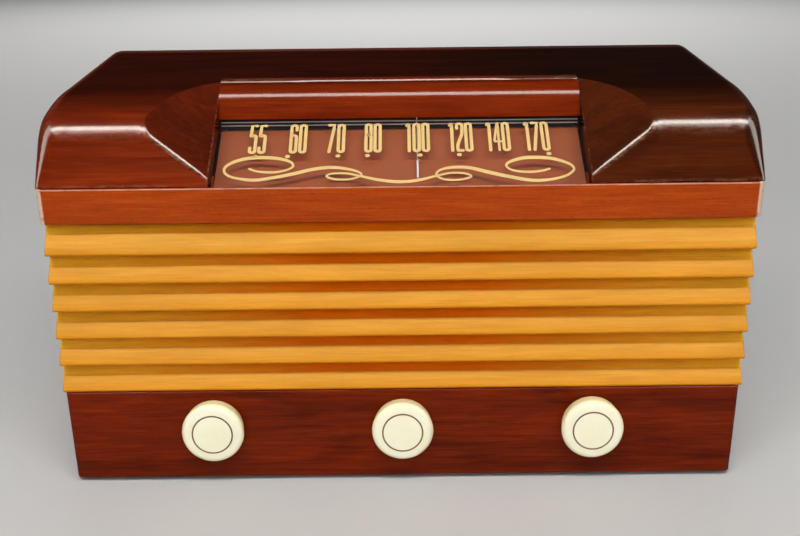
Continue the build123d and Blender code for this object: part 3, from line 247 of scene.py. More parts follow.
def woodFinish(name, dark, middle, light, along=(1, 14, 14), figure=26, streaks=0.45, pores=0.5,
               patch=0.35, wearAndSheenColour=None, gloss=0.6, coatRough=0.1, shift=(0, 0, 0), rough=0.4,
               across=None, paintedTopShade=1.0, upCoat=0.15, paintedRightShade=1.0, shading=None, paleEdgeBreaks=(0.42, 0.6)):
    # stretched noise for the figure, long thin noise for streaks, short dark flecks for pores,
    # broad noise for uneven stain, and paler wood on marked edges: wear, and on the rail's rounded ends and
    # the hood's ridge also a painted highlight; the colour may darken from the middle to the right, takes
    # painted shade and a duller coat where the wood faces straight up, painted shade where it faces right,
    # and a painted shadow up each of several even slats, paler toward their ends
    material, tree, shader = newFinish(name)
    a = np.array(along, float)
    crosswise = a > a.min()
    broad = noise(tree, stretched(tree, tuple(a ** 0.6 * figure * 0.45), shift), 3, 0.55, 0.8)
    grain = noise(tree, stretched(tree, tuple(a * figure), shift), 6, 0.62, 0.25)
    lines = noise(tree, stretched(tree, tuple(a * np.where(crosswise, 4.5, 1.6) * figure), shift), 4, 0.6)
    mixed = calculate(tree, "ADD", scaled(tree, grain, 1 - streaks), scaled(tree, lines, streaks))
    colour = ramp(tree, mixed, (0.36, dark), (0.5, middle), (0.64, light))
    colour = tinted(tree, colour, ramp(tree, broad, (0.34, grey(1 - patch)), (0.6, grey(1.0))))
    fleckSize = a * np.where(crosswise, 22, 12) * figure
    flecks = noise(tree, stretched(tree, tuple(fleckSize), shift), 2, 0.5)
    fleckMask = ramp(tree, flecks, (0.31, grey(1.0)), (0.39, grey(0.0)))
    colour = mixColour(tree, scaled(tree, fleckMask, pores), colour, tuple(0.3 * c for c in dark))
    # darker and less red from the middle toward the right
    if across is not None:
        fade = ramp(tree, scaled(tree, placeAlong(tree, "X"), 4.0, 0.5), (0.5, grey(1.0)), (0.85, across))
        colour = tinted(tree, colour, fade)
    # painted shadow: on front-facing faces each slat's nose and its upper part, shaded by the slat above, are
    # tinted deeper and redder, and paler near the ends where side light reaches
    if shading is not None:
        foot, pitch, middleStops, endStops = shading
        rise = calculate(tree, "FRACT", scaled(tree, placeAlong(tree, "Z"), 1 / pitch, -foot / pitch))
        sideways = calculate(tree, "ABSOLUTE", placeAlong(tree, "X"))
        ends = ramp(tree, scaled(tree, sideways, 5.0), (0.2, grey(0)), (0.7, grey(0.8)), (0.9, grey(1.0)))
        tint = mixColour(tree, ends, ramp(tree, rise, *middleStops), ramp(tree, rise, *endStops))
        forward = scaled(tree, facing(tree, "Y"), -1.0)
        colour = tinted(tree, colour, tint, ramp(tree, forward, (0.2, grey(0)), (0.5, grey(1.0))))
    # painted shade: wood that faces straight up is darkened, and its coat dulled
    if paintedTopShade < 1:
        upward = facing(tree, "Z")
        colour = tinted(tree, colour, ramp(tree, upward, (0.95, grey(1.0)), (0.998, grey(paintedTopShade))))
        dulled = ramp(tree, upward, (0.93, grey(gloss)), (0.998, grey(gloss * upCoat)))
        tree.links.new(dulled, shader.inputs["Coat Weight"])
    # painted shade: wood that leans to face right, as the left scoop does, is darkened; faces turned fully
    # right are left as they are
    if paintedRightShade < 1:
        shade = ramp(tree, facing(tree, "X"), (0.08, grey(1.0)), (0.2, grey(paintedRightShade)),
                     (0.6, grey(paintedRightShade)), (0.8, grey(1.0)))
        colour = tinted(tree, colour, shade)
    # paler wood on the marked edges: wear, and on the rail's rounded ends and the hood's ridge also a painted
    # highlight
    if wearAndSheenColour is not None:
        edge = put(tree, "ShaderNodeAttribute", {"attribute_name": "wearAndSheen"}).outputs["Fac"]
        broken = ramp(tree, noise(tree, stretched(tree, (160, 420, 420)), 4, 0.65),
                      (paleEdgeBreaks[0], grey(0)), (paleEdgeBreaks[1], grey(1)))
        colour = mixColour(tree, calculate(tree, "MULTIPLY", edge, broken), colour, wearAndSheenColour)
    tree.links.new(colour, shader.inputs["Base Color"])
    roughness = ramp(tree, broad, (0.2, grey(rough + 0.06)), (0.8, grey(rough - 0.05)))
    tree.links.new(roughness, shader.inputs["Roughness"])
    shader.inputs["Coat Weight"].default_value = gloss
    shader.inputs["Coat Roughness"].default_value = coatRough
    shader.inputs["Coat IOR"].default_value = 1.45
    shader.inputs["Specular IOR Level"].default_value = 0.0
    bump(tree, shader, lines, 0.00003, 0.5)
    return material


def plainFinish(name, colour, rough, metal=0.0, spread=0.12, scale=120, grainBump=0.0, alpha=1.0, coat=0.0,
                spotted=None, stretch=(1, 1, 1), specular=0.5):
    # one colour that drifts a little with noise, for small metal, rubber and moulded pieces
    material, tree, shader = newFinish(name, Metallic=metal, Alpha=alpha)
    shader.inputs["Coat Weight"].default_value = coat
    shader.inputs["Specular IOR Level"].default_value = specular
    vector = stretched(tree, tuple(scale * s for s in stretch))
    drift = noise(tree, vector, 4, 0.6)
    low = tuple(c * (1 - spread) for c in colour)
    high = tuple(min(1, c * (1 + spread)) for c in colour)
    tone = ramp(tree, drift, (0.3, low), (0.7, high))
    if spotted:
        fine = noise(tree, stretched(tree, grey(scale * 9)), 2, 0.5)
        tone = mixColour(tree, ramp(tree, fine, (0.55, grey(0)), (0.7, grey(0.7))), tone, spotted)
    tree.links.new(tone, shader.inputs["Base Color"])
    tree.links.new(ramp(tree, drift, (0.2, grey(max(rough - 0.07, 0.02))), (0.8, grey(min(rough + 0.07, 1)))),
                   shader.inputs["Roughness"])
    if grainBump:
        bump(tree, shader, noise(tree, stretched(tree, grey(scale * 8)), 3, 0.6), grainBump)
    return material


# colours are linear
lacquer = dict(
    hood=dict(dark=(0.15, 0.013, 0.0008), middle=(0.20, 0.018, 0.0012), light=(0.25, 0.028, 0.002)),
    side=dict(dark=(0.09, 0.009, 0.0010), middle=(0.15, 0.016, 0.0016), light=(0.21, 0.028, 0.003)),
    rail=dict(dark=(0.30, 0.032, 0.0010), middle=(0.385, 0.048, 0.0015), light=(0.46, 0.068, 0.003)),
    panel=dict(dark=(0.11, 0.008, 0.0006), middle=(0.165, 0.0135, 0.0009), light=(0.215, 0.023, 0.0018)),
    slats=dict(dark=(0.65, 0.275, 0.034), middle=(0.71, 0.325, 0.045), light=(0.76, 0.370, 0.057)),
    pine=dict(dark=(0.45, 0.27, 0.10), middle=(0.56, 0.36, 0.16), light=(0.66, 0.46, 0.24)),
)
hoodWood = woodFinish("hoodWood", **lacquer["hood"], wearAndSheenColour=(0.40, 0.20, 0.11), gloss=0.5, coatRough=0.16,
                      patch=0.4, pores=0.35, across=(0.40, 0.66, 0.85), paintedTopShade=0.17, paintedRightShade=0.55)
visorWood = woodFinish("visorWood", **lacquer["hood"], gloss=0.32, coatRough=0.12, patch=0.25, pores=0.3,
                       shift=(0.3, 0.1, 0), paintedTopShade=0.5)
sideWood = woodFinish("sideWood", **lacquer["side"], along=(14, 1, 14), gloss=0.5, coatRough=0.16, patch=0.3)
railWood = woodFinish("railWood", **lacquer["rail"], streaks=0.6, pores=0.8, patch=0.12,
                      wearAndSheenColour=(0.74, 0.50, 0.36), gloss=0.3, coatRough=0.19, paleEdgeBreaks=(0.2, 0.5))
panelWood = woodFinish("panelWood", **lacquer["panel"], patch=0.45, gloss=0.25, coatRough=0.14, pores=0.45,
                       shift=(0.4, 0, 0.2))
slatCount = 6
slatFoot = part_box(f"louver_{slatCount}")[0].z
slatPitch = (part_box("louver_1")[0].z - slatFoot) / (slatCount - 1)


def slatFinish(name, shaded):
    # blond lacquered wood, with painted shade under the nose and a painted shadow of the slat above from the
    # given share of a slat's height upward
    lit = [(0, (0.90, 0.70, 0.14)), (0.12, (0.98, 0.86, 0.45)), (0.32, grey(1.0)), (shaded, grey(1.0))]
    middleStops = lit + [(shaded + 0.05, (1.12, 0.5, 0.04))]
    endStops = lit + [(shaded + 0.05, (1.28, 1.4, 0.6))]
    return woodFinish(name, **lacquer["slats"], streaks=0.5, pores=0.2, patch=0.1, gloss=0.15, coatRough=0.25,
                      rough=0.5, shading=(slatFoot, slatPitch, middleStops, endStops))


topSlatWood = slatFinish("topSlatWood", 0.62)
slatWood = slatFinish("slatWood", 0.51)
pineWood = woodFinish("pineWood", **lacquer["pine"], along=(14, 1, 14), gloss=0.0, rough=0.7)
print("wood finishes made")

rubber = plainFinish("footRubber", (0.022, 0.021, 0.02), 0.75, grainBump=0.0001)
plasticBrown = plainFinish("mouldedResin", (0.035, 0.017, 0.01), 0.3, coat=0.2)
socketResin = plainFinish("socketResin", (0.05, 0.028, 0.016), 0.5)
brass = plainFinish("brightBrass", (0.62, 0.42, 0.16), 0.3, metal=1.0)
plate = plainFinish("platedSteel", (0.50, 0.49, 0.45), 0.38, metal=1.0, spread=0.2, scale=40,
                    spotted=(0.30, 0.22, 0.14))
screwSteel = plainFinish("screwSteel", (0.42, 0.41, 0.39), 0.35, metal=1.0)
aluminium = plainFinish("brightAluminium", (0.78, 0.78, 0.78), 0.28, metal=1.0, spread=0.05)
canAluminium = plainFinish("drawnAluminium", (0.66, 0.67, 0.68), 0.34, metal=1.0, stretch=(1, 1, 0.1))
laminations = plainFinish("coreLaminations", (0.07, 0.07, 0.075), 0.55, metal=0.6, scale=60,
                          stretch=(1, 30, 1))
windingPaper = plainFinish("windingPaper", (0.34, 0.20, 0.08), 0.7, spread=0.25)
basketPaint = plainFinish("basketPaint", (0.018, 0.018, 0.02), 0.35, coat=0.2)
conePaper = plainFinish("conePaper", (0.028, 0.024, 0.02), 0.9, spread=0.3, scale=300, grainBump=0.00015)
idlerResin = plainFinish("idlerResin", (0.09, 0.05, 0.025), 0.4)
lampGlass = plainFinish("lampGlass", (0.95, 0.92, 0.82), 0.05, alpha=0.3, spread=0.02)
tubeGlass = plainFinish("tubeGlass", (0.62, 0.66, 0.66), 0.05, alpha=0.4, spread=0.1)


def boardFinish(name):
    # pressed fibre board: mottled brown with short pale fibres
    material, tree, shader = newFinish(name, Roughness=0.82)
    cloud = noise(tree, stretched(tree, grey(35)), 5, 0.6)
    tone = ramp(tree, cloud, (0.3, (0.052, 0.027, 0.014)), (0.7, (0.105, 0.058, 0.03)))
    fibres = noise(tree, stretched(tree, (500, 500, 2600)), 2, 0.6)
    tone = mixColour(tree, ramp(tree, fibres, (0.6, grey(0)), (0.72, grey(0.5))), tone, (0.22, 0.14, 0.08))
    tree.links.new(tone, shader.inputs["Base Color"])
    bump(tree, shader, fibres, 0.00012)
    return material


def stripedFinish(name, first, second, axis, pitch, metal, rough):
    # even stripes across one axis, as a winding or a twisted cord shows
    material, tree, shader = newFinish(name, Metallic=metal, Roughness=rough)
    wave = bands(tree, axis, pitch, 0.2).outputs["Fac"]
    tree.links.new(ramp(tree, wave, (0.2, first), (0.6, second)), shader.inputs["Base Color"])
    bump(tree, shader, wave, pitch * 0.3)
    return material


fibreBoard = boardFinish("fibreBoard")
antennaWire = stripedFinish("antennaWire", (0.12, 0.045, 0.015), (0.5, 0.24, 0.09), "X", 0.0008, 0.6, 0.4)
waxedCord = stripedFinish("waxedCord", (0.20, 0.17, 0.11), (0.46, 0.41, 0.29), "DIAGONAL", 0.0006, 0.0, 0.8)
print("small finishes made")


def ivoryFinish(name):
    # cast ivory plastic: waxy, a little yellower in clouds, with painted shade that makes the sides yellower
    # than the face
    material, tree, shader = newFinish(name, Roughness=0.45)
    cloud = noise(tree, stretched(tree, grey(70)), 4, 0.55)
    tone = ramp(tree, cloud, (0.3, (0.95, 0.90, 0.64)), (0.7, (0.98, 0.94, 0.73)))
    paintedSideShade = ramp(tree, scaled(tree, facing(tree, "Y"), -1.0), (0.2, (1.0, 0.93, 0.66)), (0.8, grey(1.0)))
    tree.links.new(tinted(tree, tone, paintedSideShade), shader.inputs["Base Color"])
    shader.inputs["Subsurface Weight"].default_value = 0.12
    shader.inputs["Subsurface Radius"].default_value = (0.004, 0.003, 0.0015)
    shader.inputs["Subsurface Scale"].default_value = 0.5
    shader.inputs["Specular IOR Level"].default_value = 0.25
    bump(tree, shader, noise(tree, stretched(tree, grey(900)), 2, 0.5), 0.00001, 0.4)
    return material


knobIvory = ivoryFinish("knobIvory")
ringPaint = plainFinish("ringPaint", (0.20, 0.095, 0.045), 0.6)
dialRose = plainFinish("dialRose", (0.39, 0.096, 0.033), 0.6, spread=0.03, scale=45, specular=0.05)
printCream = plainFinish("printCream", (0.98, 0.67, 0.25), 0.5, spread=0.04, scale=200, specular=0.1)
pointerCream = plainFinish("pointerCream", (0.72, 0.66, 0.46), 0.4, spread=0.08)
pointerWhite = plainFinish("pointerWhite", (0.92, 0.90, 0.82), 0.4, spread=0.04)


def trackFinish(name, ribs):
    # black paint, with painted highlights of a dull metal tone along two ribs at the given heights, where the
    # track's edges catch light
    material, tree, shader = newFinish(name)
    z = placeAlong(tree, "Z")
    first, second = [ramp(tree, scaled(tree, z, 100, 0.5 - 100 * rib), (0.455, grey(0)), (0.475, grey(1)),
                          (0.515, grey(1)), (0.535, grey(0))) for rib in ribs]
    ribGlint = mixColour(tree, 1.0, first, second, "ADD")
    glintBreaks = noise(tree, stretched(tree, (60, 600, 600)), 4, 0.6)
    ribGlint = tinted(tree, ribGlint, ramp(tree, glintBreaks, (0.3, grey(0.7)), (0.6, grey(1))))
    colour = mixColour(tree, ribGlint, (0.006, 0.006, 0.007), (0.75, 0.70, 0.66))
    tree.links.new(colour, shader.inputs["Base Color"])
    tree.links.new(ramp(tree, ribGlint, (0, grey(0.6)), (1, grey(0.4))), shader.inputs["Roughness"])
    shader.inputs["Specular IOR Level"].default_value = 0.2
    return material


def clothFinish(name, threadPitch=0.0011):
    # plain weave: two crossed waves lift the threads and part their colours
    material, tree, shader = newFinish(name, Roughness=0.9)
    threads = []
    for direction in ("X", "Z"):
        wave = bands(tree, direction, threadPitch, 0.6)
        wave.inputs["Detail Scale"].default_value = 4.0
        threads.append(wave.outputs["Fac"])
    weave = calculate(tree, "MULTIPLY", *threads)
    tone = ramp(tree, weave, (0.05, (0.02, 0.011, 0.006)), (0.6, (0.13, 0.07, 0.03)))
    slub = noise(tree, stretched(tree, (30, 30, 900)), 3, 0.6)
    tone = mixColour(tree, ramp(tree, slub, (0.55, grey(0)), (0.75, grey(0.5))), tone, (0.30, 0.19, 0.08))
    tree.links.new(tone, shader.inputs["Base Color"])
    shader.inputs["Sheen Weight"].default_value = 0.2
    bump(tree, shader, weave, 0.0003)
    return material


def glassFinish(name):
    # thin clear pane: mostly see-through, with a faint smoky film and its gloss
    material, tree, shader = newFinish(name, Roughness=0.03, Alpha=0.05)
    film = noise(tree, stretched(tree, grey(18)), 3, 0.6)
    colour = ramp(tree, film, (0.3, (0.10, 0.09, 0.08)), (0.7, (0.16, 0.15, 0.14)))
    tree.links.new(colour, shader.inputs["Base Color"])
    return material


track = trackFinish("trackPaint", (0.1855, 0.1837))
grilleWeave = clothFinish("grilleWeave")
dialClear = glassFinish("dialClear")
print("dial, knob and cloth finishes made")

# which finish each node that stays as it is gets
nodeFinishes = dict(
    visor_bar=visorWood, side_left=sideWood, side_right=sideWood, glue_blocks=pineWood,
    louver_spacers=slatWood,
    rubber_feet=rubber, cord_grommet=rubber,
    dial_glass=dialClear, dial_plate=dialRose, pointer_rail=track,
    idler_left=idlerResin, idler_right=idlerResin, pointer_cord=waxedCord, drive_cord=waxedCord,
    lamp_sockets=brass, tuning_bushing=brass, control_nuts=brass, lamp_bulbs=lampGlass,
    chassis=plate, chassis_screws=screwSteel, back_screws=screwSteel, gang_frame=plate,
    gang_stator=aluminium, gang_rotor=aluminium, tuning_drum=aluminium,
    volume_shaft=aluminium, tone_shaft=aluminium, tuning_shaft=aluminium,
    volume_control=socketResin, tone_control=socketResin, tube_bulbs=tubeGlass, tube_bases=plasticBrown,
    tube_sockets=socketResin, coil_cans=canAluminium, filter_can=canAluminium, transformer_core=laminations,
    transformer_coil=windingPaper, speaker_baffle=fibreBoard, back_cover=fibreBoard,
    speaker_basket=basketPaint, speaker_magnet=basketPaint, speaker_cone=conePaper,
    speaker_dust_cap=conePaper, loop_antenna=antennaWire,
)
for name, finish in nodeFinishes.items():
    for place in nodes[name].material_slots:
        place.material = finish
print("kept nodes finished:", len(nodeFinishes))

# places that several pieces share, read from the frame
railLow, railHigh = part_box("upper_rail")
panelLow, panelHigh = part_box("lower_panel")
baseLow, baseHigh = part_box("base_board")
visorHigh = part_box("visor_bar")[1]
hoodLow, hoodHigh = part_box("hood")
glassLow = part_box("dial_glass")[0]
front, blockBack, back = railLow.y, railHigh.y, hoodHigh.y
seam, top = railHigh.z, hoodHigh.z
dialHalf, visorBack = visorHigh.x, visorHigh.y
cabinetHalf = railHigh.x


def halfWidth(z):
    # the cabinet narrows evenly from the hood's seam to the base board's top
    return baseHigh.x + (cabinetHalf - baseHigh.x) * (z - baseHigh.z) / (seam - baseHigh.z)


def cornerSteps(radius, count=9):
    # distances in from an end at which a rounded corner is sampled, close together near the end
    return radius * (1 - np.sin(np.linspace(pi / 2, 0, count)))


def cornerSetback(distance, radius):
    # how far a rounded corner stands back at a distance in from the end
    inside = np.clip(radius - distance, 0, radius)
    return radius - np.sqrt(radius ** 2 - inside ** 2)


def trimSections(outline, width, cornerRadius, stations):
    # a YZ outline carried across the cabinet, its front set back round each end's corner
    distance = np.concatenate([cornerSteps(cornerRadius), stations])
    y, z = outline[:, 0], outline[:, 1]
    frontness = (y.max() - y) / (y.max() - y.min())
    half = width(z)
    right = np.stack([
        half[None, :] - distance[:, None],
        y[None, :] + cornerSetback(distance, cornerRadius)[:, None] * frontness,
        np.broadcast_to(z, (len(distance), len(z))),
    ], -1)
    left = right.copy()
    left[:, :, 0] *= -1
    return np.concatenate([left, right[::-1]])


edgeWear = 0.35


def trimWearAndSheen(sections, wearAndSheen, endWearAndSheen):
    # paler along the outline's rounded corners, and round the corner at each end, which on the rail is partly
    # wear and partly a painted highlight
    amount = edgeWear * np.broadcast_to(wearAndSheen, sections.shape[:2])
    for corner in (slice(2, 6), slice(-6, -2)):
        amount[corner] = np.maximum(amount[corner], endWearAndSheen)
    return amount


def trimBoard(name, corners, radii, width, cornerRadius, node, slotName, material, steps=5):
    outline, wearAndSheen = roundCorners(corners, radii, steps)
    sections = trimSections(outline, width, cornerRadius, np.array([cornerRadius * 1.3, 0.02, 0.08]))
    piece = loft(name, sections, "cabinet", slotName, material, trimWearAndSheen(sections, wearAndSheen, edgeWear))
    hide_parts(node)
    return piece


# control panel and base board
panelShape = dict(faceSetback=0.0102, lean=0.0023, cornerRadius=0.003, edge=0.0008, jointEdge=0.0003)
panelFace = front + panelShape["faceSetback"]
leanPerHeight = panelShape["lean"] / (panelHigh.z - baseLow.z)
panelFoot = panelFace + leanPerHeight * (panelHigh.z - panelLow.z)
baseFoot = panelFace + leanPerHeight * (panelHigh.z - baseLow.z)
trimBoard("controlPanel",
          [(panelFoot, panelLow.z), (panelFace, panelHigh.z),
           (blockBack, panelHigh.z), (blockBack, panelLow.z)],
          [panelShape["jointEdge"], panelShape["edge"], 0, 0], halfWidth, panelShape["cornerRadius"],
          "lower_panel", "dark_wood", panelWood)
trimBoard("baseBoard",
          [(baseFoot, baseLow.z), (panelFoot, baseHigh.z),
           (baseHigh.y, baseHigh.z), (baseHigh.y, baseLow.z)],
          [panelShape["edge"], panelShape["jointEdge"], 0, 0], halfWidth, panelShape["cornerRadius"],
          "base_board", "dark_wood", panelWood)

# louvers
louverShape = dict(slope=0.66, nose=0.0012, upperEdge=0.0006, endRadius=0.0013, noseSteps=14)
# the nose's arc is foremost where the slat's box begins, so the corner that it rounds stands further out
noseCorner = louverShape["nose"] - louverShape["nose"] / tan(atan(1 / louverShape["slope"]) / 2)
for index in range(1, slatCount + 1):
    low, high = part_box(f"louver_{index}")
    foot = low.y + noseCorner
    headY = foot + louverShape["slope"] * (high.z - low.z)
    trimBoard(f"slat{index}", [(foot, low.z), (headY, high.z), (high.y, high.z), (high.y, low.z)],
              [louverShape["nose"], louverShape["upperEdge"], 0, 0], lambda z: np.full(len(z), high.x),
              louverShape["endRadius"], f"louver_{index}", "blond_wood",
              topSlatWood if index == 1 else slatWood, louverShape["noseSteps"])
print("panel, base and louvers made")

# upper rail, with the trough behind its lip that the glass stands in
# the rail's rounded ends are paled: partly wear and partly a painted highlight on the rounded corners
railShape = dict(lean=0.0008, cornerRadius=0.006, endWearAndSheen=1.3, edge=0.0009, lip=0.0015, shelfInset=0.0003,
                 glassThickness=0.0024, glassSlope=0.474, troughInset=0.0116, troughFloor=0.005)
glassAngle = atan(railShape["glassSlope"])
glassFoot = glassLow.z + railShape["glassThickness"] * cos(glassAngle)
shelfY = glassLow.y - railShape["shelfInset"]
shelfZ = glassFoot - railShape["glassThickness"] / cos(glassAngle) - railShape["shelfInset"]
troughY = front + railShape["troughInset"]
floorZ = railLow.z + railShape["troughFloor"]
lipY = front + railShape["lip"]


def railSections(hair=1e-5):
    # the end sections are whole; between the dial's ends the same points drop into the trough
    whole = [(blockBack, railLow.z), (front + railShape["lean"], railLow.z), (front, seam), (lipY, seam),
             (shelfY, seam), (shelfY + hair, seam), (troughY, seam), (troughY + hair, seam),
             (blockBack, seam)]
    hollow = whole[:4] + [(shelfY, glassFoot), (shelfY + hair, shelfZ), (troughY, shelfZ),
                          (troughY + hair, floorZ), (blockBack, floorZ)]
    radii = [0, railShape["edge"] * 0.4, railShape["edge"] * 0.6, 0, 0, 0, 0, 0, 0]
    wholeLine, wearAndSheen = roundCorners(whole, radii)
    # the lower front corner is not worn
    wearAndSheen.reshape(len(whole), -1)[1] = 0
    hollowLine = roundCorners(hollow, radii)[0]
    ends = trimSections(wholeLine, halfWidth, railShape["cornerRadius"],
                        np.array([0.010, cabinetHalf - dialHalf]))
    half = len(ends) // 2
    y, z = hollowLine[:, 0], hollowLine[:, 1]
    middle = np.stack([np.stack([np.full(len(y), x), y, z], -1) for x in (-dialHalf, 0, dialHalf)])
    ends[half - 1, :, 0] = -dialHalf
    ends[half, :, 0] = dialHalf
    return np.concatenate([ends[:half], middle, ends[half:]]), wearAndSheen


sections, wearAndSheen = railSections()
amount = trimWearAndSheen(sections, wearAndSheen, railShape["endWearAndSheen"])
upperRail = loft("upperRail", sections, "cabinet", "rail_wood", railWood, amount)
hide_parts("upper_rail")
print("upper rail made")

# hood
hoodShape = dict(lean=0.0099, crest=0.029, flatBehindFront=0.0645, cornerLow=0.003, cornerHigh=0.022,
                 topEdge=0.012, crestEdge=0.008, scoopRun=0.0335, scoopLip=0.0036, crestRadius=0.024,
                 ridgeRadius=0.009, ridgeBlend=0.006, wall=0.009, cheekDepth=0.003, footChamfer=0.0007,
                 chamferFade=0.012)
# how many points each stretch of a line over the hood has, from the seam to the back
hoodRows = dict(front=16, ridge=4, scoop=12, arch=16, flat=5, tail=10)
hoodFront = hoodLow.y
hoodRise = top - seam
crestY = hoodFront + hoodShape["lean"] * hoodShape["crest"] / hoodRise
crestZ = seam + hoodShape["crest"]
flatY = hoodFront + hoodShape["flatBehindFront"]
archRadius = ((flatY - crestY) ** 2 + (top - crestZ) ** 2) / (2 * (top - crestZ))
ridgePoint = np.array([dialHalf + hoodShape["scoopRun"], crestY, crestZ])
mouthPoint = np.array([dialHalf, hoodFront, seam + hoodShape["scoopLip"]])
risePoint = np.array([dialHalf, visorBack, top])
scoopNormal = np.cross(mouthPoint - ridgePoint, risePoint - ridgePoint)


def bisect(function, low, high):
    # narrows whole arrays of intervals onto the place where the function turns positive
    for _ in range(40):
        middle = (low + high) / 2
        above = function(middle) > 0
        low = np.where(above, low, middle)
        high = np.where(above, middle, high)
    return (low + high) / 2


def frontAt(x, z):
    # the front leans back evenly, and its corner's radius grows from the seam to the top
    share = (z - seam) / hoodRise
    radius = hoodShape["cornerLow"] + (hoodShape["cornerHigh"] - hoodShape["cornerLow"]) * share
    inside = np.clip(x - (cabinetHalf - radius), 0, radius)
    return hoodFront + hoodShape["lean"] * share + radius - np.sqrt(radius ** 2 - inside ** 2)


def archAt(x, y):
    # the shoulder's arch up to the flat top, less a quarter round along the hood's side whose radius
    # grows from the crest to the flat
    arch = top - archRadius + np.sqrt(archRadius ** 2 - np.clip(flatY - y, 0, archRadius) ** 2)
    share = np.clip((y - crestY) / (flatY - crestY), 0, 1)
    radius = hoodShape["crestEdge"] + (hoodShape["topEdge"] - hoodShape["crestEdge"]) * share
    inside = np.clip(x - (cabinetHalf - radius), 0, radius)
    return arch - radius + np.sqrt(radius ** 2 - inside ** 2)


def scoopAt(x, y):
    # height of the flat that falls from the shoulder to the dial
    across = scoopNormal[0] * (x - ridgePoint[0]) + scoopNormal[1] * (y - ridgePoint[1])
    return ridgePoint[2] - across / scoopNormal[2]


def roofAt(x, y):
    return np.minimum(archAt(x, y), scoopAt(x, y))


def cornerTangent(before, after, room, radius):
    # tangent length of the ridge's rounding where two directions meet
    turn = np.arccos(np.clip((before * after).sum(-1), -1, 1))
    return np.minimum(radius * np.tan(turn / 2), np.maximum(room, 0))


def direction(y0, z0, y1, z1):
    step = np.stack([y1 - y0, z1 - z0], -1)
    return step / np.linalg.norm(step, axis=-1, keepdims=True)


def curveBetween(start, control, end, count):
    s = np.linspace(0, 1, count + 2)[1:-1][None, :, None]
    return (1 - s) ** 2 * start[:, None] + 2 * s * (1 - s) * control[:, None] + s ** 2 * end[:, None]


def spread(low, high, count):
    # count even places from low to high for each column
    s = np.linspace(0, 1, count)
    low, high = np.broadcast_arrays(low, high)
    return low[:, None] * (1 - s) + high[:, None] * s


def hoodLines(a, roof, scooped):
    # for each distance from the middle, a line of points from the seam up the front and over to the back
    tiny = 1e-5
    rows = hoodRows

    def onRoof(y, height):
        return np.stack([y, height(a[:, None] if y.ndim > 1 else a, y)], -1)

    z1 = bisect(lambda z: z - roof(a, frontAt(a, z)), np.full(len(a), seam), np.full(len(a), top))
    y1 = frontAt(a, z1)
    y2 = bisect(lambda y: scoopAt(a, y) - archAt(a, y), y1, np.full(len(a), visorBack)) if scooped else y1
    y3 = np.minimum(np.maximum(flatY, y2), visorBack)
    up = direction(frontAt(a, z1 - tiny), z1 - tiny, y1, z1)
    over = direction(y1, roof(a, y1), y1 + tiny, roof(a, y1 + tiny))
    radius = hoodShape["ridgeRadius"] if scooped else hoodShape["crestRadius"]
    t1 = cornerTangent(up, over, 0.45 * np.minimum(z1 - seam, y2 - y1 if scooped else y3 - y1), radius)
    zA = z1 - t1 * up[:, 1]
    yB0 = yB1 = yC0 = y1 + t1 * over[:, 0]
    if scooped:
        scoopEnd = direction(y2 - tiny, roof(a, y2 - tiny), y2, roof(a, y2))
        onward = direction(y2, archAt(a, y2), y2 + tiny, archAt(a, y2 + tiny))
        room = 0.45 * np.minimum(y2 - y1, visorBack - y2)
        t2 = cornerTangent(scoopEnd, onward, room, hoodShape["ridgeRadius"])
        yB1 = y2 - t2 * scoopEnd[:, 0]
        yC0 = y2 + t2 * onward[:, 0]
    y3 = np.maximum(y3, yC0)
    # the front, whose foot has a small chamfer that fades in beyond the dial
    rowsA = spread(seam, zA, rows["front"])
    chamfer = np.clip((a - dialHalf) / hoodShape["chamferFade"], 0, 1) * hoodShape["footChamfer"]
    rowsA[:, 1] = seam + np.maximum(chamfer, 0.1 * (rowsA[:, 1] - seam))
    partA = np.stack([frontAt(a[:, None], rowsA), rowsA], -1)
    partA[:, 0, 0] += chamfer
    ridgeOne = curveBetween(partA[:, -1], np.stack([y1, z1], -1), onRoof(yB0, roof), rows["ridge"])
    partB = onRoof(spread(yB0, yB1, rows["scoop"]), roof)
    pointC = onRoof(yC0, archAt)
    control = onRoof(y2, archAt) if scooped else pointC
    ridgeTwo = curveBetween(partB[:, -1], control, pointC, rows["ridge"])
    partC = onRoof(spread(yC0, y3, rows["arch"]), archAt)
    partD = onRoof(spread(y3, visorBack, rows["flat"])[:, 1:], archAt)
    partE = onRoof(spread(np.full(len(a), visorBack), back, rows["tail"])[:, 1:], archAt)
    return np.concatenate([partA, ridgeOne, partB, ridgeTwo, partC, partD, partE], axis=1), partE.shape[1]


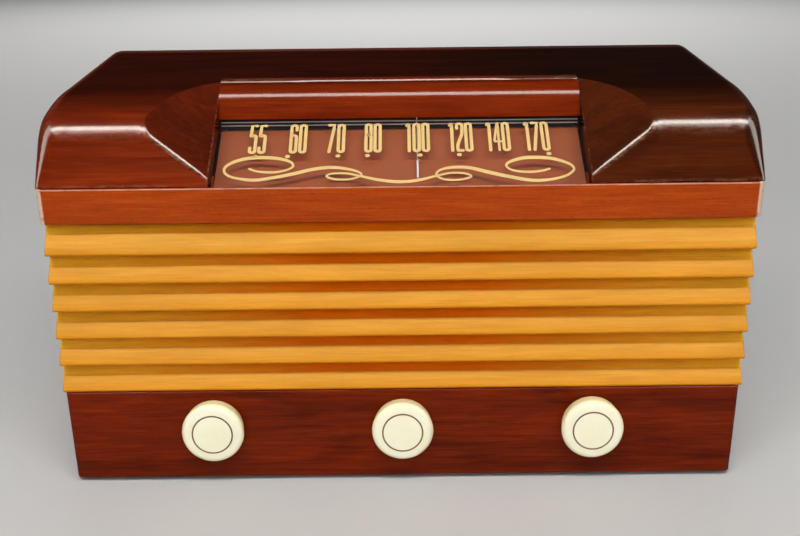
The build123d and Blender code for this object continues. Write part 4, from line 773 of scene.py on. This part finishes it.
def hoodSections():
    # near its outer end the scoop's lines pass smoothly into the lines of the whole shoulder
    scoopX = np.linspace(dialHalf, dialHalf + hoodShape["scoopRun"], 48)
    shoulderX = np.linspace(scoopX[-1], cabinetHalf - hoodShape["cornerHigh"], 12)[1:]
    roundX = cabinetHalf - hoodShape["cornerHigh"] * (1 - np.sin(np.linspace(0, pi / 2, 26)[1:]))
    outer = np.concatenate([scoopX, shoulderX, roundX])
    x = np.concatenate([-outer[::-1], [-dialHalf / 2, 0, dialHalf / 2], outer])
    a = np.maximum(np.abs(x), dialHalf)
    whole, tailRows = hoodLines(a, archAt, False)
    cut = hoodLines(np.minimum(a, scoopX[-1] - 1e-4), roofAt, True)[0]
    share = np.clip((scoopX[-1] - a) / hoodShape["ridgeBlend"], 0, 1)[:, None, None]
    share = share ** 2 * (3 - 2 * share)
    line = whole * (1 - share) + cut * share
    # worn along the foot, and paler along the middle of the first ridge, most beside the scoop, which is
    # partly wear and partly a painted highlight on the ridge line
    wearAndSheen = np.zeros(line.shape[:2])
    wearAndSheen[:, 1] = 0.3
    ridgeStart = hoodRows["front"]
    wearAndSheen[:, ridgeStart + 1:ridgeStart + hoodRows["ridge"] - 1] = 0.1 + 0.3 * share[:, :, 0]
    points = np.concatenate([np.broadcast_to(x[:, None, None], (*line.shape[:2], 1)), line], -1)
    return x, points, wearAndSheen, line.shape[1] - tailRows - 1


def hoodWall(edge):
    # the flat side below the outermost line: its front column and its top row are that line, and the rest
    # of each row divides the run to the back as the top row does
    corner = hoodRows["front"] - 1
    heights = edge[:corner + 1, 2]
    frontY = edge[:corner + 1, 1]
    share = (edge[corner:, 1] - edge[corner, 1]) / (back - edge[corner, 1])
    y = frontY[None, :] + share[:, None] * (back - frontY[None, :])
    wall = np.stack([np.full(y.shape, edge[0, 0]), y, np.broadcast_to(heights, y.shape)], -1)
    wall[:, -1] = edge[corner:]
    return wall


x, hoodGrid, hoodWearAndSheen, lastBeforeE = hoodSections()
columns, rows = hoodGrid.shape[:2]
faces = gridFaces(columns, rows)
columnOf, rowOf = faces[:, 0] // rows, faces[:, 0] % rows
overDial = np.abs(hoodGrid[:, 0, 0]) <= dialHalf + 1e-6
keep = ~(overDial[columnOf] & overDial[np.minimum(columnOf + 1, columns - 1)] & (rowOf < lastBeforeE))
faces = faces[keep]
allPoints, allWearAndSheen = hoodGrid.reshape(-1, 3), hoodWearAndSheen.ravel()
for edge in (hoodGrid[0], hoodGrid[-1]):
    wall = hoodWall(edge)
    faces = np.concatenate([faces, gridFaces(*wall.shape[:2]) + len(allPoints)])
    allPoints = np.concatenate([allPoints, wall.reshape(-1, 3)])
    allWearAndSheen = np.concatenate([allWearAndSheen, np.zeros(wall.shape[0] * wall.shape[1])])
for sideSign in (-1, 1):
    # each cheek drops from the scoop's edge to just under the glass
    column = np.argmin(np.abs(hoodGrid[:, 0, 0] - sideSign * dialHalf))
    edge = hoodGrid[column, :lastBeforeE + 1]
    foot = edge.copy()
    foot[:, 2] = glassFoot + (edge[:, 1] - glassLow.y) * railShape["glassSlope"] - hoodShape["cheekDepth"]
    start = len(allPoints)
    allPoints = np.concatenate([allPoints, np.stack([edge, foot]).reshape(-1, 3)])
    allWearAndSheen = np.concatenate([allWearAndSheen, np.repeat([0.4, 0.0], len(edge))])
    faces = np.concatenate([faces, gridFaces(2, len(edge)) + start])
hoodShell = putMesh("hoodShell", allPoints, faces, "cabinet", "dark_wood", [hoodWood], allWearAndSheen)
thick = hoodShell.modifiers.new("wall", "SOLIDIFY")
thick.thickness = hoodShape["wall"]
thick.offset = -1
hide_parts("hood")
print("hood made:", len(faces), "faces")

# knobs: a softly crowned face with a painted ring groove, a rounded rim and a hollow back
knobShape = dict(crown=0.0006, ringInner=0.0100, ringOuter=0.0108, ringDepth=0.0007, edge=0.0030,
                 taper=0.0009, wall=0.0026, floor=0.0046, hub=0.0063, hubSetback=0.002, bore=0.00322,
                 boreEnd=0.0041)


def knobProfile(radius, length):
    k = knobShape
    inner = np.array([0, 0.2, 0.45, 0.7, 0.9, 1.0]) * k["ringInner"]
    outer = np.linspace(k["ringOuter"], radius - k["edge"], 5)
    faceR = np.concatenate([inner, [k["ringInner"] + 5e-5, k["ringOuter"] - 5e-5], outer])
    faceD = k["crown"] * (faceR / (radius - k["edge"])) ** 2
    faceD[6:8] = k["ringDepth"]
    around = np.linspace(0, pi / 2, 9)[1:]
    rimR = radius - k["edge"] + k["edge"] * np.sin(around)
    rimD = k["crown"] + k["edge"] * (1 - np.cos(around))
    base = radius - k["taper"]
    tail = np.array([
        (radius - k["taper"] * 0.5, length * 0.6), (base, length - 0.0005), (base - 0.0005, length),
        (base - k["wall"], length), (base - k["wall"] - 0.0006, k["floor"]), (k["hub"], k["floor"]),
        (k["hub"], length - k["hubSetback"]), (k["bore"], length - k["hubSetback"]),
        (k["bore"], k["boreEnd"]), (0, k["boreEnd"]),
    ])
    profile = np.concatenate([np.stack([faceR, faceD], 1), np.stack([rimR, rimD], 1), tail])
    finish = np.zeros(len(profile) - 1, int)
    finish[5:8] = 1
    return profile, finish


for name in ("volume", "tone", "tuning"):
    low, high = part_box(f"knob_{name}")
    profile, finish = knobProfile((high.x - low.x) / 2, high.y - low.y)
    centre = ((low.x + high.x) / 2, low.y, (low.z + high.z) / 2)
    knob = lathe(f"{name}Knob", profile, centre, 96, name, "knob_ivory", [knobIvory, ringPaint], finish)
    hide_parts(f"knob_{name}")
print("knobs made")

# the dial's print, on the back of the glass
printShape = dict(layer=0.00012, gap=0.00003, height=0.0243, digitWidth=0.0044, stroke=0.0017, tall=1.25,
                  hook=0.0026, thinShare=0.76, foot=0.0304, dotRadius=0.0013, dotFoot=0.0278)
glassBackDrop = railShape["glassThickness"] + printShape["gap"]


def onGlass(x, s, drop):
    # a place across the dial and up along the glass, sunk square to its face
    return np.stack([x, glassLow.y + s * cos(glassAngle) + drop * sin(glassAngle),
                     glassFoot + s * sin(glassAngle) - drop * cos(glassAngle)], -1)


def arc(x, s, radius, start, end, count=12):
    turn = np.radians(np.linspace(start, end, count))
    return np.stack([x + radius * np.cos(turn), s + radius * np.sin(turn)], 1)


def through(points, steps=10):
    # smooth line through the points: each run is a cubic whose ends point along its neighbours
    p = np.asarray(points, float)
    p = np.concatenate([p[:1] * 2 - p[1:2], p, p[-1:] * 2 - p[-2:-1]])
    t = np.linspace(0, 1, steps, endpoint=False)[None, :, None]
    a, b, c, d = p[:-3, None], p[1:-2, None], p[2:-1, None], p[3:, None]
    line = 0.5 * (2 * b + (c - a) * t + (2 * a - 5 * b + 4 * c - d) * t ** 2
                  + (3 * b - a - 3 * c + d) * t ** 3)
    return np.concatenate([line.reshape(-1, p.shape[1]), p[-2:-1]])


def stroke(path, width, closed=False, tall=1.0):
    # flat stroke of even thickness along a path on the glass, its free ends rounded off; a tall stroke is
    # laid out on a shortened glass and drawn out again, so its level runs come out heavier
    path = np.asarray(path, float) / (1, tall)
    width = np.broadcast_to(width, len(path)).astype(float)
    if not closed:
        ends = np.array([0.5, 0.44, 0.3, 0.12])
        first, last = path[1] - path[0], path[-1] - path[-2]
        first, last = first / np.linalg.norm(first), last / np.linalg.norm(last)
        start = path[0] - first * (ends * width[0])[:, None]
        finish = path[-1] + last * (ends[::-1] * width[-1])[:, None]
        path = np.concatenate([start, path, finish])
        cut = np.sqrt(np.clip(1 - (2 * ends) ** 2, 0.02, 1))
        width = np.concatenate([cut * width[0], width, cut[::-1] * width[-1]])
        along = np.gradient(path, axis=0)
    else:
        along = np.roll(path, -1, axis=0) - np.roll(path, 1, axis=0)
    along /= np.linalg.norm(along, axis=1, keepdims=True) + 1e-12
    across = np.stack([-along[:, 1], along[:, 0]], 1) * width[:, None] / 2
    left, right = (path + across) * (1, tall), (path - across) * (1, tall)
    layers = [(left, 0), (right, 0), (right, printShape["layer"]), (left, printShape["layer"])]
    points = np.stack([onGlass(p[:, 0], p[:, 1], glassBackDrop + drop) for p, drop in layers], 1)
    count = len(points)
    if closed:
        return points.reshape(-1, 3), gridFaces(count + 1, 4, closedRows=True) % (count * 4)
    faces = gridFaces(count, 4, closedRows=True)
    caps = np.array([[0, 1, 2, 3], [3, 2, 1, 0]]) + np.array([[0], [(count - 1) * 4]])
    return points.reshape(-1, 3), np.concatenate([faces, caps])


def gather(parts):
    # joins several point and face arrays into one
    starts = np.cumsum([0] + [len(p) for p, _ in parts[:-1]])
    return np.concatenate([p for p, _ in parts]), np.concatenate([f + n for (_, f), n in zip(parts, starts)])


def digitStrokes(digit, x, s):
    # tall narrow figures drawn from straight runs and half circles: r is half a figure's width
    r = (printShape["digitWidth"] - printShape["stroke"]) / 2
    h = printShape["height"] - printShape["stroke"]
    hook = printShape["hook"]

    def join(*runs):
        return np.concatenate([np.atleast_2d(run) for run in runs])

    drawings = {
        "0": [(join(arc(0, h - r, r, 0, 180), arc(0, r, r, 180, 360)), True)],
        "1": [(join((-r * 0.8, h - 0.0012), (-r * 0.2, h), (0, h - 0.0002), (0, h - 0.002), (0, 0)), False)],
        "2": [(join((-r, h - r - hook), arc(0, h - r, r, 180, 0),
                    through([(r, h * 0.76), (r * 0.75, h * 0.58), (-r * 0.75, h * 0.24), (-r, 0.0012)], 6),
                    (-r, 0), (r, 0)), False)],
        "4": [(join((r * 0.5, 0), (r * 0.5, h)), False),
              (join((r * 0.25, h), (-r * 1.15, h * 0.36),
                    (-r * 1.15, h * 0.32), (r * 1.3, h * 0.32)), False)],
        "5": [(join((r, h), (-r * 0.8, h), (-r, h * 0.6), (-r * 0.4, h * 0.6)), False),
              (join(arc(0, h * 0.6 - r * 0.4, r, 120, 0), arc(0, r, r, 0, -180), (-r, r + hook)), False)],
        "6": [(join((r, h - r - hook), arc(0, h - r, r, 0, 180), arc(0, r, r, 180, 360),
                    arc(0, h * 0.62 - r, r, 0, 150)), False)],
        "7": [(join((-r, h), (r, h), (r * 0.8, h * 0.88), (-r * 0.8, 0)), False)],
        "8": [(join(arc(0, h - r * 0.92, r * 0.92, 0, 180),
                    arc(0, h * 0.6 + r * 0.9, r * 0.92, 180, 360)), True),
              (join(arc(0, h * 0.6 - r * 0.9, r, 0, 180), arc(0, r, r, 180, 360)), True)],
    }
    shift = np.array([x, s + printShape["stroke"] / 2])
    width = printShape["stroke"] * (printShape["thinShare"] if digit == "4" else 1)
    return [stroke(path + shift, width, closed, printShape["tall"]) for path, closed in drawings[digit]]


# where the middle of each figure and of each dot stands across the dial, in millimetres
dialFigures = {"55": (-76.2, -71.4), "60": (-55.1, -50.3), "70": (-35.4, -30.4), "80": (-16.1, -11.4),
               "100": (5.0, 8.9, 13.6), "120": (27.4, 31.4, 36.0), "140": (47.0, 50.9, 55.4),
               "170": (66.9, 70.9, 75.8)}
figureParts = []
for figure, places in dialFigures.items():
    for digit, x in zip(figure, places):
        figureParts += digitStrokes(digit, x * 0.001, printShape["foot"])
dialDots = (-74.1, -57.6, -31.7, -16.5, 10.5, 30.7, 76.7)


def dot(x, s, radius, sides=14):
    # a thin disc on the glass, as rings from the middle of one face round to the middle of the other
    turn = np.linspace(0, 2 * pi, sides, endpoint=False)
    across, along = radius * np.cos(turn), radius * np.sin(turn)
    rings = [onGlass(x + across * share, s + along * share, glassBackDrop + drop)
             for share, drop in ((0, 0), (1, 0), (1, printShape["layer"]), (0, printShape["layer"]))]
    return np.stack(rings).reshape(-1, 3), gridFaces(4, sides, closedRows=True)


for x in dialDots:
    figureParts.append(dot(x * 0.001, printShape["dotFoot"], printShape["dotRadius"]))
putMesh("dialFigures", *gather(figureParts), "cabinet", "pointer_paint", [printCream])

scrollShape = dict(thick=0.0021, thin=0.0011, tall=1.3)
# one unbroken scroll of plain calligraphic loops, in millimetres across the dial and up the glass,
# with a weight for each place
scrollLine = [
    (-76.5, 18, 0), (-72.5, 16, .1), (-67.5, 15.2, .3), (-62.5, 15.2, .2), (-57, 17, .1), (-54.3, 20, .1),
    (-56.5, 23.8, .4), (-64, 26.5, .8), (-75, 27, 1), (-83.5, 24.5, .8), (-88.3, 20.5, .5), (-89.2, 17, .2),
    (-87.8, 13.8, .2), (-83.5, 11, .2), (-73.5, 9, .7), (-63, 11, .8), (-53, 14, .9), (-44.5, 17, .9),
    (-35.5, 18.5, .8), (-28, 17.5, .5), (-21.5, 15, .1), (-19.5, 12, 0), (-25, 9, 0), (-32.5, 9, 0),
    (-37, 11.5, 0), (-34, 13.5, 0), (-26.5, 13.5, 0), (-19, 11, .2), (-10, 8, .6), (-0.5, 6.5, .7),
    (9, 7.5, .5), (17.5, 10.5, .1), (25.5, 13, 0), (33, 12.5, 0), (36, 10, 0), (30, 7.5, 0), (22.5, 8, 0),
    (18.5, 11.5, 0), (20.5, 15.5, .1), (27, 17.5, .6), (35.5, 17, .8), (44.5, 13.5, 1), (55.5, 9.5, .9),
    (66.5, 6.5, .8), (75.5, 7, .5), (83, 9.5, .2), (87, 12.7, .1), (88.3, 16, .1),
    (85.5, 20, .4), (77, 24, .8), (65.5, 24.8, 1), (57.5, 22.3, .6), (54.2, 19, .1), (56, 15.5, .1),
    (60.5, 13.7, .2), (66.5, 13.2, .3), (72, 14, .2), (76, 15.5, 0)]
smooth = through(scrollLine)
weight = scrollShape["thin"] + (scrollShape["thick"] - scrollShape["thin"]) * np.clip(smooth[:, 2], 0, 1)
scroll, scrollFaces = stroke(smooth[:, :2] * 0.001, weight, tall=scrollShape["tall"])
putMesh("dialScrolls", scroll, scrollFaces, "cabinet", "pointer_paint", [printCream])
print("dial print made")

# pointer: a thin wire that leaves a clip over the track, and a thicker white end below the figures, with a
# small hook to one side at its top
pointerShape = dict(drop=0.0057, wire=0.00028, tip=0.0006, tipStart=0.027, end=0.0135, clipThickness=0.0005,
                    steps=24, tipSteps=14)
pointerLow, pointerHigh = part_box("dial_pointer")
trackLow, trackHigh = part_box("pointer_rail")
pointerX = (pointerLow.x + pointerHigh.x) / 2


def wire(path, radius, sides=10):
    # a round wire along a line of points, its section square to the line, closed at both ends
    path = np.asarray(path, float)
    radius = np.broadcast_to(radius, len(path))
    along = np.gradient(path, axis=0)
    along /= np.linalg.norm(along, axis=1, keepdims=True)
    sideways = np.broadcast_to([1.0, 0, 0], along.shape) - along * along[:, :1]
    sideways = sideways / np.linalg.norm(sideways, axis=1, keepdims=True)
    third = np.cross(along, sideways)
    turn = np.linspace(0, 2 * pi, sides, endpoint=False)
    ring = sideways[:, None] * np.cos(turn)[None, :, None] + third[:, None] * np.sin(turn)[None, :, None]
    points = (path[:, None] + ring * radius[:, None, None]).reshape(-1, 3)
    faces = list(gridFaces(len(path), sides, closedRows=True))
    return points, faces + [np.arange(sides), np.arange(sides) + (len(path) - 1) * sides]


def pointerPath():
    # up along the glass, then up, over and down behind the track
    half = pointerShape["clipThickness"] / 2
    frontY, behindY, overZ = pointerLow.y, pointerHigh.y - half, pointerHigh.z - half
    furthest = (trackLow.y - glassLow.y - 0.0008) / cos(glassAngle) - 0.003
    reach = np.linspace(pointerShape["end"], furthest, pointerShape["steps"])
    lower = onGlass(np.full(len(reach), pointerX), reach, pointerShape["drop"])
    clipY = trackLow.y - 0.0004
    clip = np.array([[pointerX, clipY, trackLow.z + 0.0016], [pointerX, clipY, trackHigh.z],
                     [pointerX, clipY + 0.0004, overZ], [pointerX, behindY - 0.0004, overZ],
                     [pointerX, behindY, trackHigh.z], [pointerX, behindY, trackLow.z + 0.0002]])
    return lower, through(np.concatenate([lower[-1:], clip]), 6)


lower, clip = pointerPath()
line = np.concatenate([lower, clip[1:]])
wireRadius = np.where(np.arange(len(line)) < len(lower), pointerShape["wire"],
                      pointerShape["clipThickness"] / 2)
wirePoints, wireFaces = wire(line, wireRadius)
pointerWire = putMesh("pointerWire", wirePoints, wireFaces, "pointer", "pointer_paint", [pointerCream])
tipSteps = pointerShape["tipSteps"]
tipS = np.linspace(pointerShape["end"], pointerShape["tipStart"], tipSteps)
hookX = np.concatenate([np.full(tipSteps, pointerX), pointerX + np.array([0.0002, 0.0007, 0.0011])])
hookS = np.concatenate([tipS, pointerShape["tipStart"] + np.array([0.0007, 0.0010, 0.0006])])
hookRadius = np.concatenate([np.full(tipSteps, pointerShape["tip"]), [0.0004, 0.0003, 0.0002]])
tipPoints, tipFaces = wire(onGlass(hookX, hookS, pointerShape["drop"]), hookRadius)
pointerTip = putMesh("pointerTip", tipPoints, tipFaces, "pointer", "pointer_paint", [pointerWhite])
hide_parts("dial_pointer")
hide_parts("dial_pointer")
print("pointer made")

# grille cloth, stretched flat behind the louvers
clothShape = dict(thickness=0.0003, ripple=0.00006, columns=120, rows=36, endFade=30, edgeFade=10)
clothLow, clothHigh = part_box("grille_cloth")
u, v = np.meshgrid(np.linspace(0, 1, clothShape["columns"]), np.linspace(0, 1, clothShape["rows"]),
                   indexing="ij")
clothX = clothLow.x + (clothHigh.x - clothLow.x) * u
clothZ = clothLow.z + (clothHigh.z - clothLow.z) * v
# two slow waves that die out at the tacked edges
tacked = np.clip(np.minimum(np.minimum(u, 1 - u) * clothShape["endFade"],
                            np.minimum(v, 1 - v) * clothShape["edgeFade"]), 0, 1)
waves = np.sin(u * 41 + v * 3) * np.sin(v * 9 + u * 5)
clothY = (clothLow.y + clothHigh.y) / 2 + clothShape["ripple"] * tacked * waves
grille = putMesh("grilleCloth", np.stack([clothX, clothY, clothZ], -1),
                 gridFaces(clothShape["columns"], clothShape["rows"]), "cabinet", "grille_fabric",
                 [grilleWeave])
thick = grille.modifiers.new("thickness", "SOLIDIFY")
thick.thickness = clothShape["thickness"]
thick.offset = 0
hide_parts("grille_cloth")
print("grille cloth made")

# floor, light and camera
stageShape = dict(floorHalf=8.0, floor=(0.66, 0.655, 0.64), floorDrift=0.985, fill=0.09)
# lights on the middle line, then the ones that stand in pairs: watts, metres and degrees
middleLights = dict(
    keyStrip=dict(power=16.2, size=(1.5, 0.16), azimuth=0, elevation=52, distance=1.5),
    frontFill=dict(power=15.2, size=(1.6, 0.9), azimuth=0, elevation=24, distance=2.4),
    rearFill=dict(power=17, size=(1.6, 0.9), azimuth=180, elevation=22, distance=2.2),
    topCard=dict(power=82, size=(2.4, 0.3), azimuth=0, elevation=80, distance=1.5, glossOnly=True),
)
pairedLights = dict(
    sideLight=dict(power=1.6, size=(0.5, 0.7), azimuth=60, elevation=30, distance=1.7),
    endCard=dict(power=34, size=(0.6, 1.5), azimuth=86, elevation=27, distance=1.6, glossOnly=True),
    bendCard=dict(power=10, size=(0.5, 0.5), azimuth=55, elevation=62, distance=1.5, glossOnly=True),
)
floorMesh = bpy.data.meshes.new("floor")
half = stageShape["floorHalf"]
floorMesh.from_pydata([(-half, -half, 0), (half, -half, 0), (half, half, 0), (-half, half, 0)], [],
                      [(0, 1, 2, 3)])
floor = bpy.data.objects.new("floor", floorMesh)
scene.collection.objects.link(floor)
floorFinish, tree, shader = newFinish("floorPaper", Roughness=0.9)
shader.inputs["Specular IOR Level"].default_value = 0.0
low = tuple(c * stageShape["floorDrift"] for c in stageShape["floor"])
drift = noise(tree, stretched(tree, grey(3.0)), 3, 0.5)
tree.links.new(ramp(tree, drift, (0.3, low), (0.7, stageShape["floor"])), shader.inputs["Base Color"])
floorMesh.materials.append(floorFinish)

world = bpy.data.worlds.new("studio")
scene.world = world
world.use_nodes = True
background = world.node_tree.nodes["Background"]
background.inputs["Color"].default_value = (1.0, 0.985, 0.96, 1)
background.inputs["Strength"].default_value = stageShape["fill"]


def areaLight(name, target, power, size, azimuth, elevation, distance, glossOnly=False, sign=1):
    # aims a rectangular light at the target from a direction round the front, azimuth 0 straight ahead;
    # the lights that colour the surfaces and the cards that show in their gloss are set apart
    lamp = bpy.data.lights.new(name, "AREA")
    lamp.shape = "RECTANGLE"
    lamp.size, lamp.size_y = size
    lamp.energy = power
    lamp.color = (1.0, 0.96, 0.88) if glossOnly else (1.0, 1.0, 1.0)
    holder = bpy.data.objects.new(name, lamp)
    a, e = radians(sign * azimuth), radians(elevation)
    way = Vector((sin(a) * cos(e), -cos(a) * cos(e), sin(e)))
    turned = way.to_track_quat("Z", "Y").to_matrix().to_4x4()
    holder.matrix_world = Matrix.Translation(Vector(target) + way * distance) @ turned
    holder.visible_diffuse = not glossOnly
    holder.visible_glossy = glossOnly
    holder.visible_camera = False
    scene.collection.objects.link(holder)


middle = (0, 0, (seam + baseLow.z) / 2)
for name, light in middleLights.items():
    areaLight(name, middle, **light)
for sign in (-1, 1):
    for name, light in pairedLights.items():
        areaLight(name, middle, sign=sign, **light)

cameraShape = dict(place=(0.00145, -0.74076, 0.33186), pitch=17.8445, yaw=-0.1635, roll=0.6793,
                   lens=61.041, sensor=36, near=0.01, far=50)


def aimCamera():
    # forward from yaw and pitch; right and down then turn together by the roll
    yaw, pitch, roll = (radians(cameraShape[k]) for k in ("yaw", "pitch", "roll"))
    forward = Vector((sin(yaw) * cos(pitch), cos(yaw) * cos(pitch), -sin(pitch)))
    right = Vector((cos(yaw), -sin(yaw), 0))
    down = forward.cross(right)
    rightTurned = right * cos(roll) + down * sin(roll)
    downTurned = down * cos(roll) - right * sin(roll)
    turned = Matrix((rightTurned, -downTurned, -forward)).transposed().to_4x4()
    lens = bpy.data.cameras.new("camera")
    lens.lens, lens.sensor_width, lens.sensor_fit = cameraShape["lens"], cameraShape["sensor"], "HORIZONTAL"
    lens.clip_start, lens.clip_end = cameraShape["near"], cameraShape["far"]
    holder = bpy.data.objects.new("camera", lens)
    holder.matrix_world = Matrix.Translation(cameraShape["place"]) @ turned
    scene.collection.objects.link(holder)
    scene.camera = holder


aimCamera()
scene.view_settings.view_transform = "Standard"
print("floor, light and camera set")
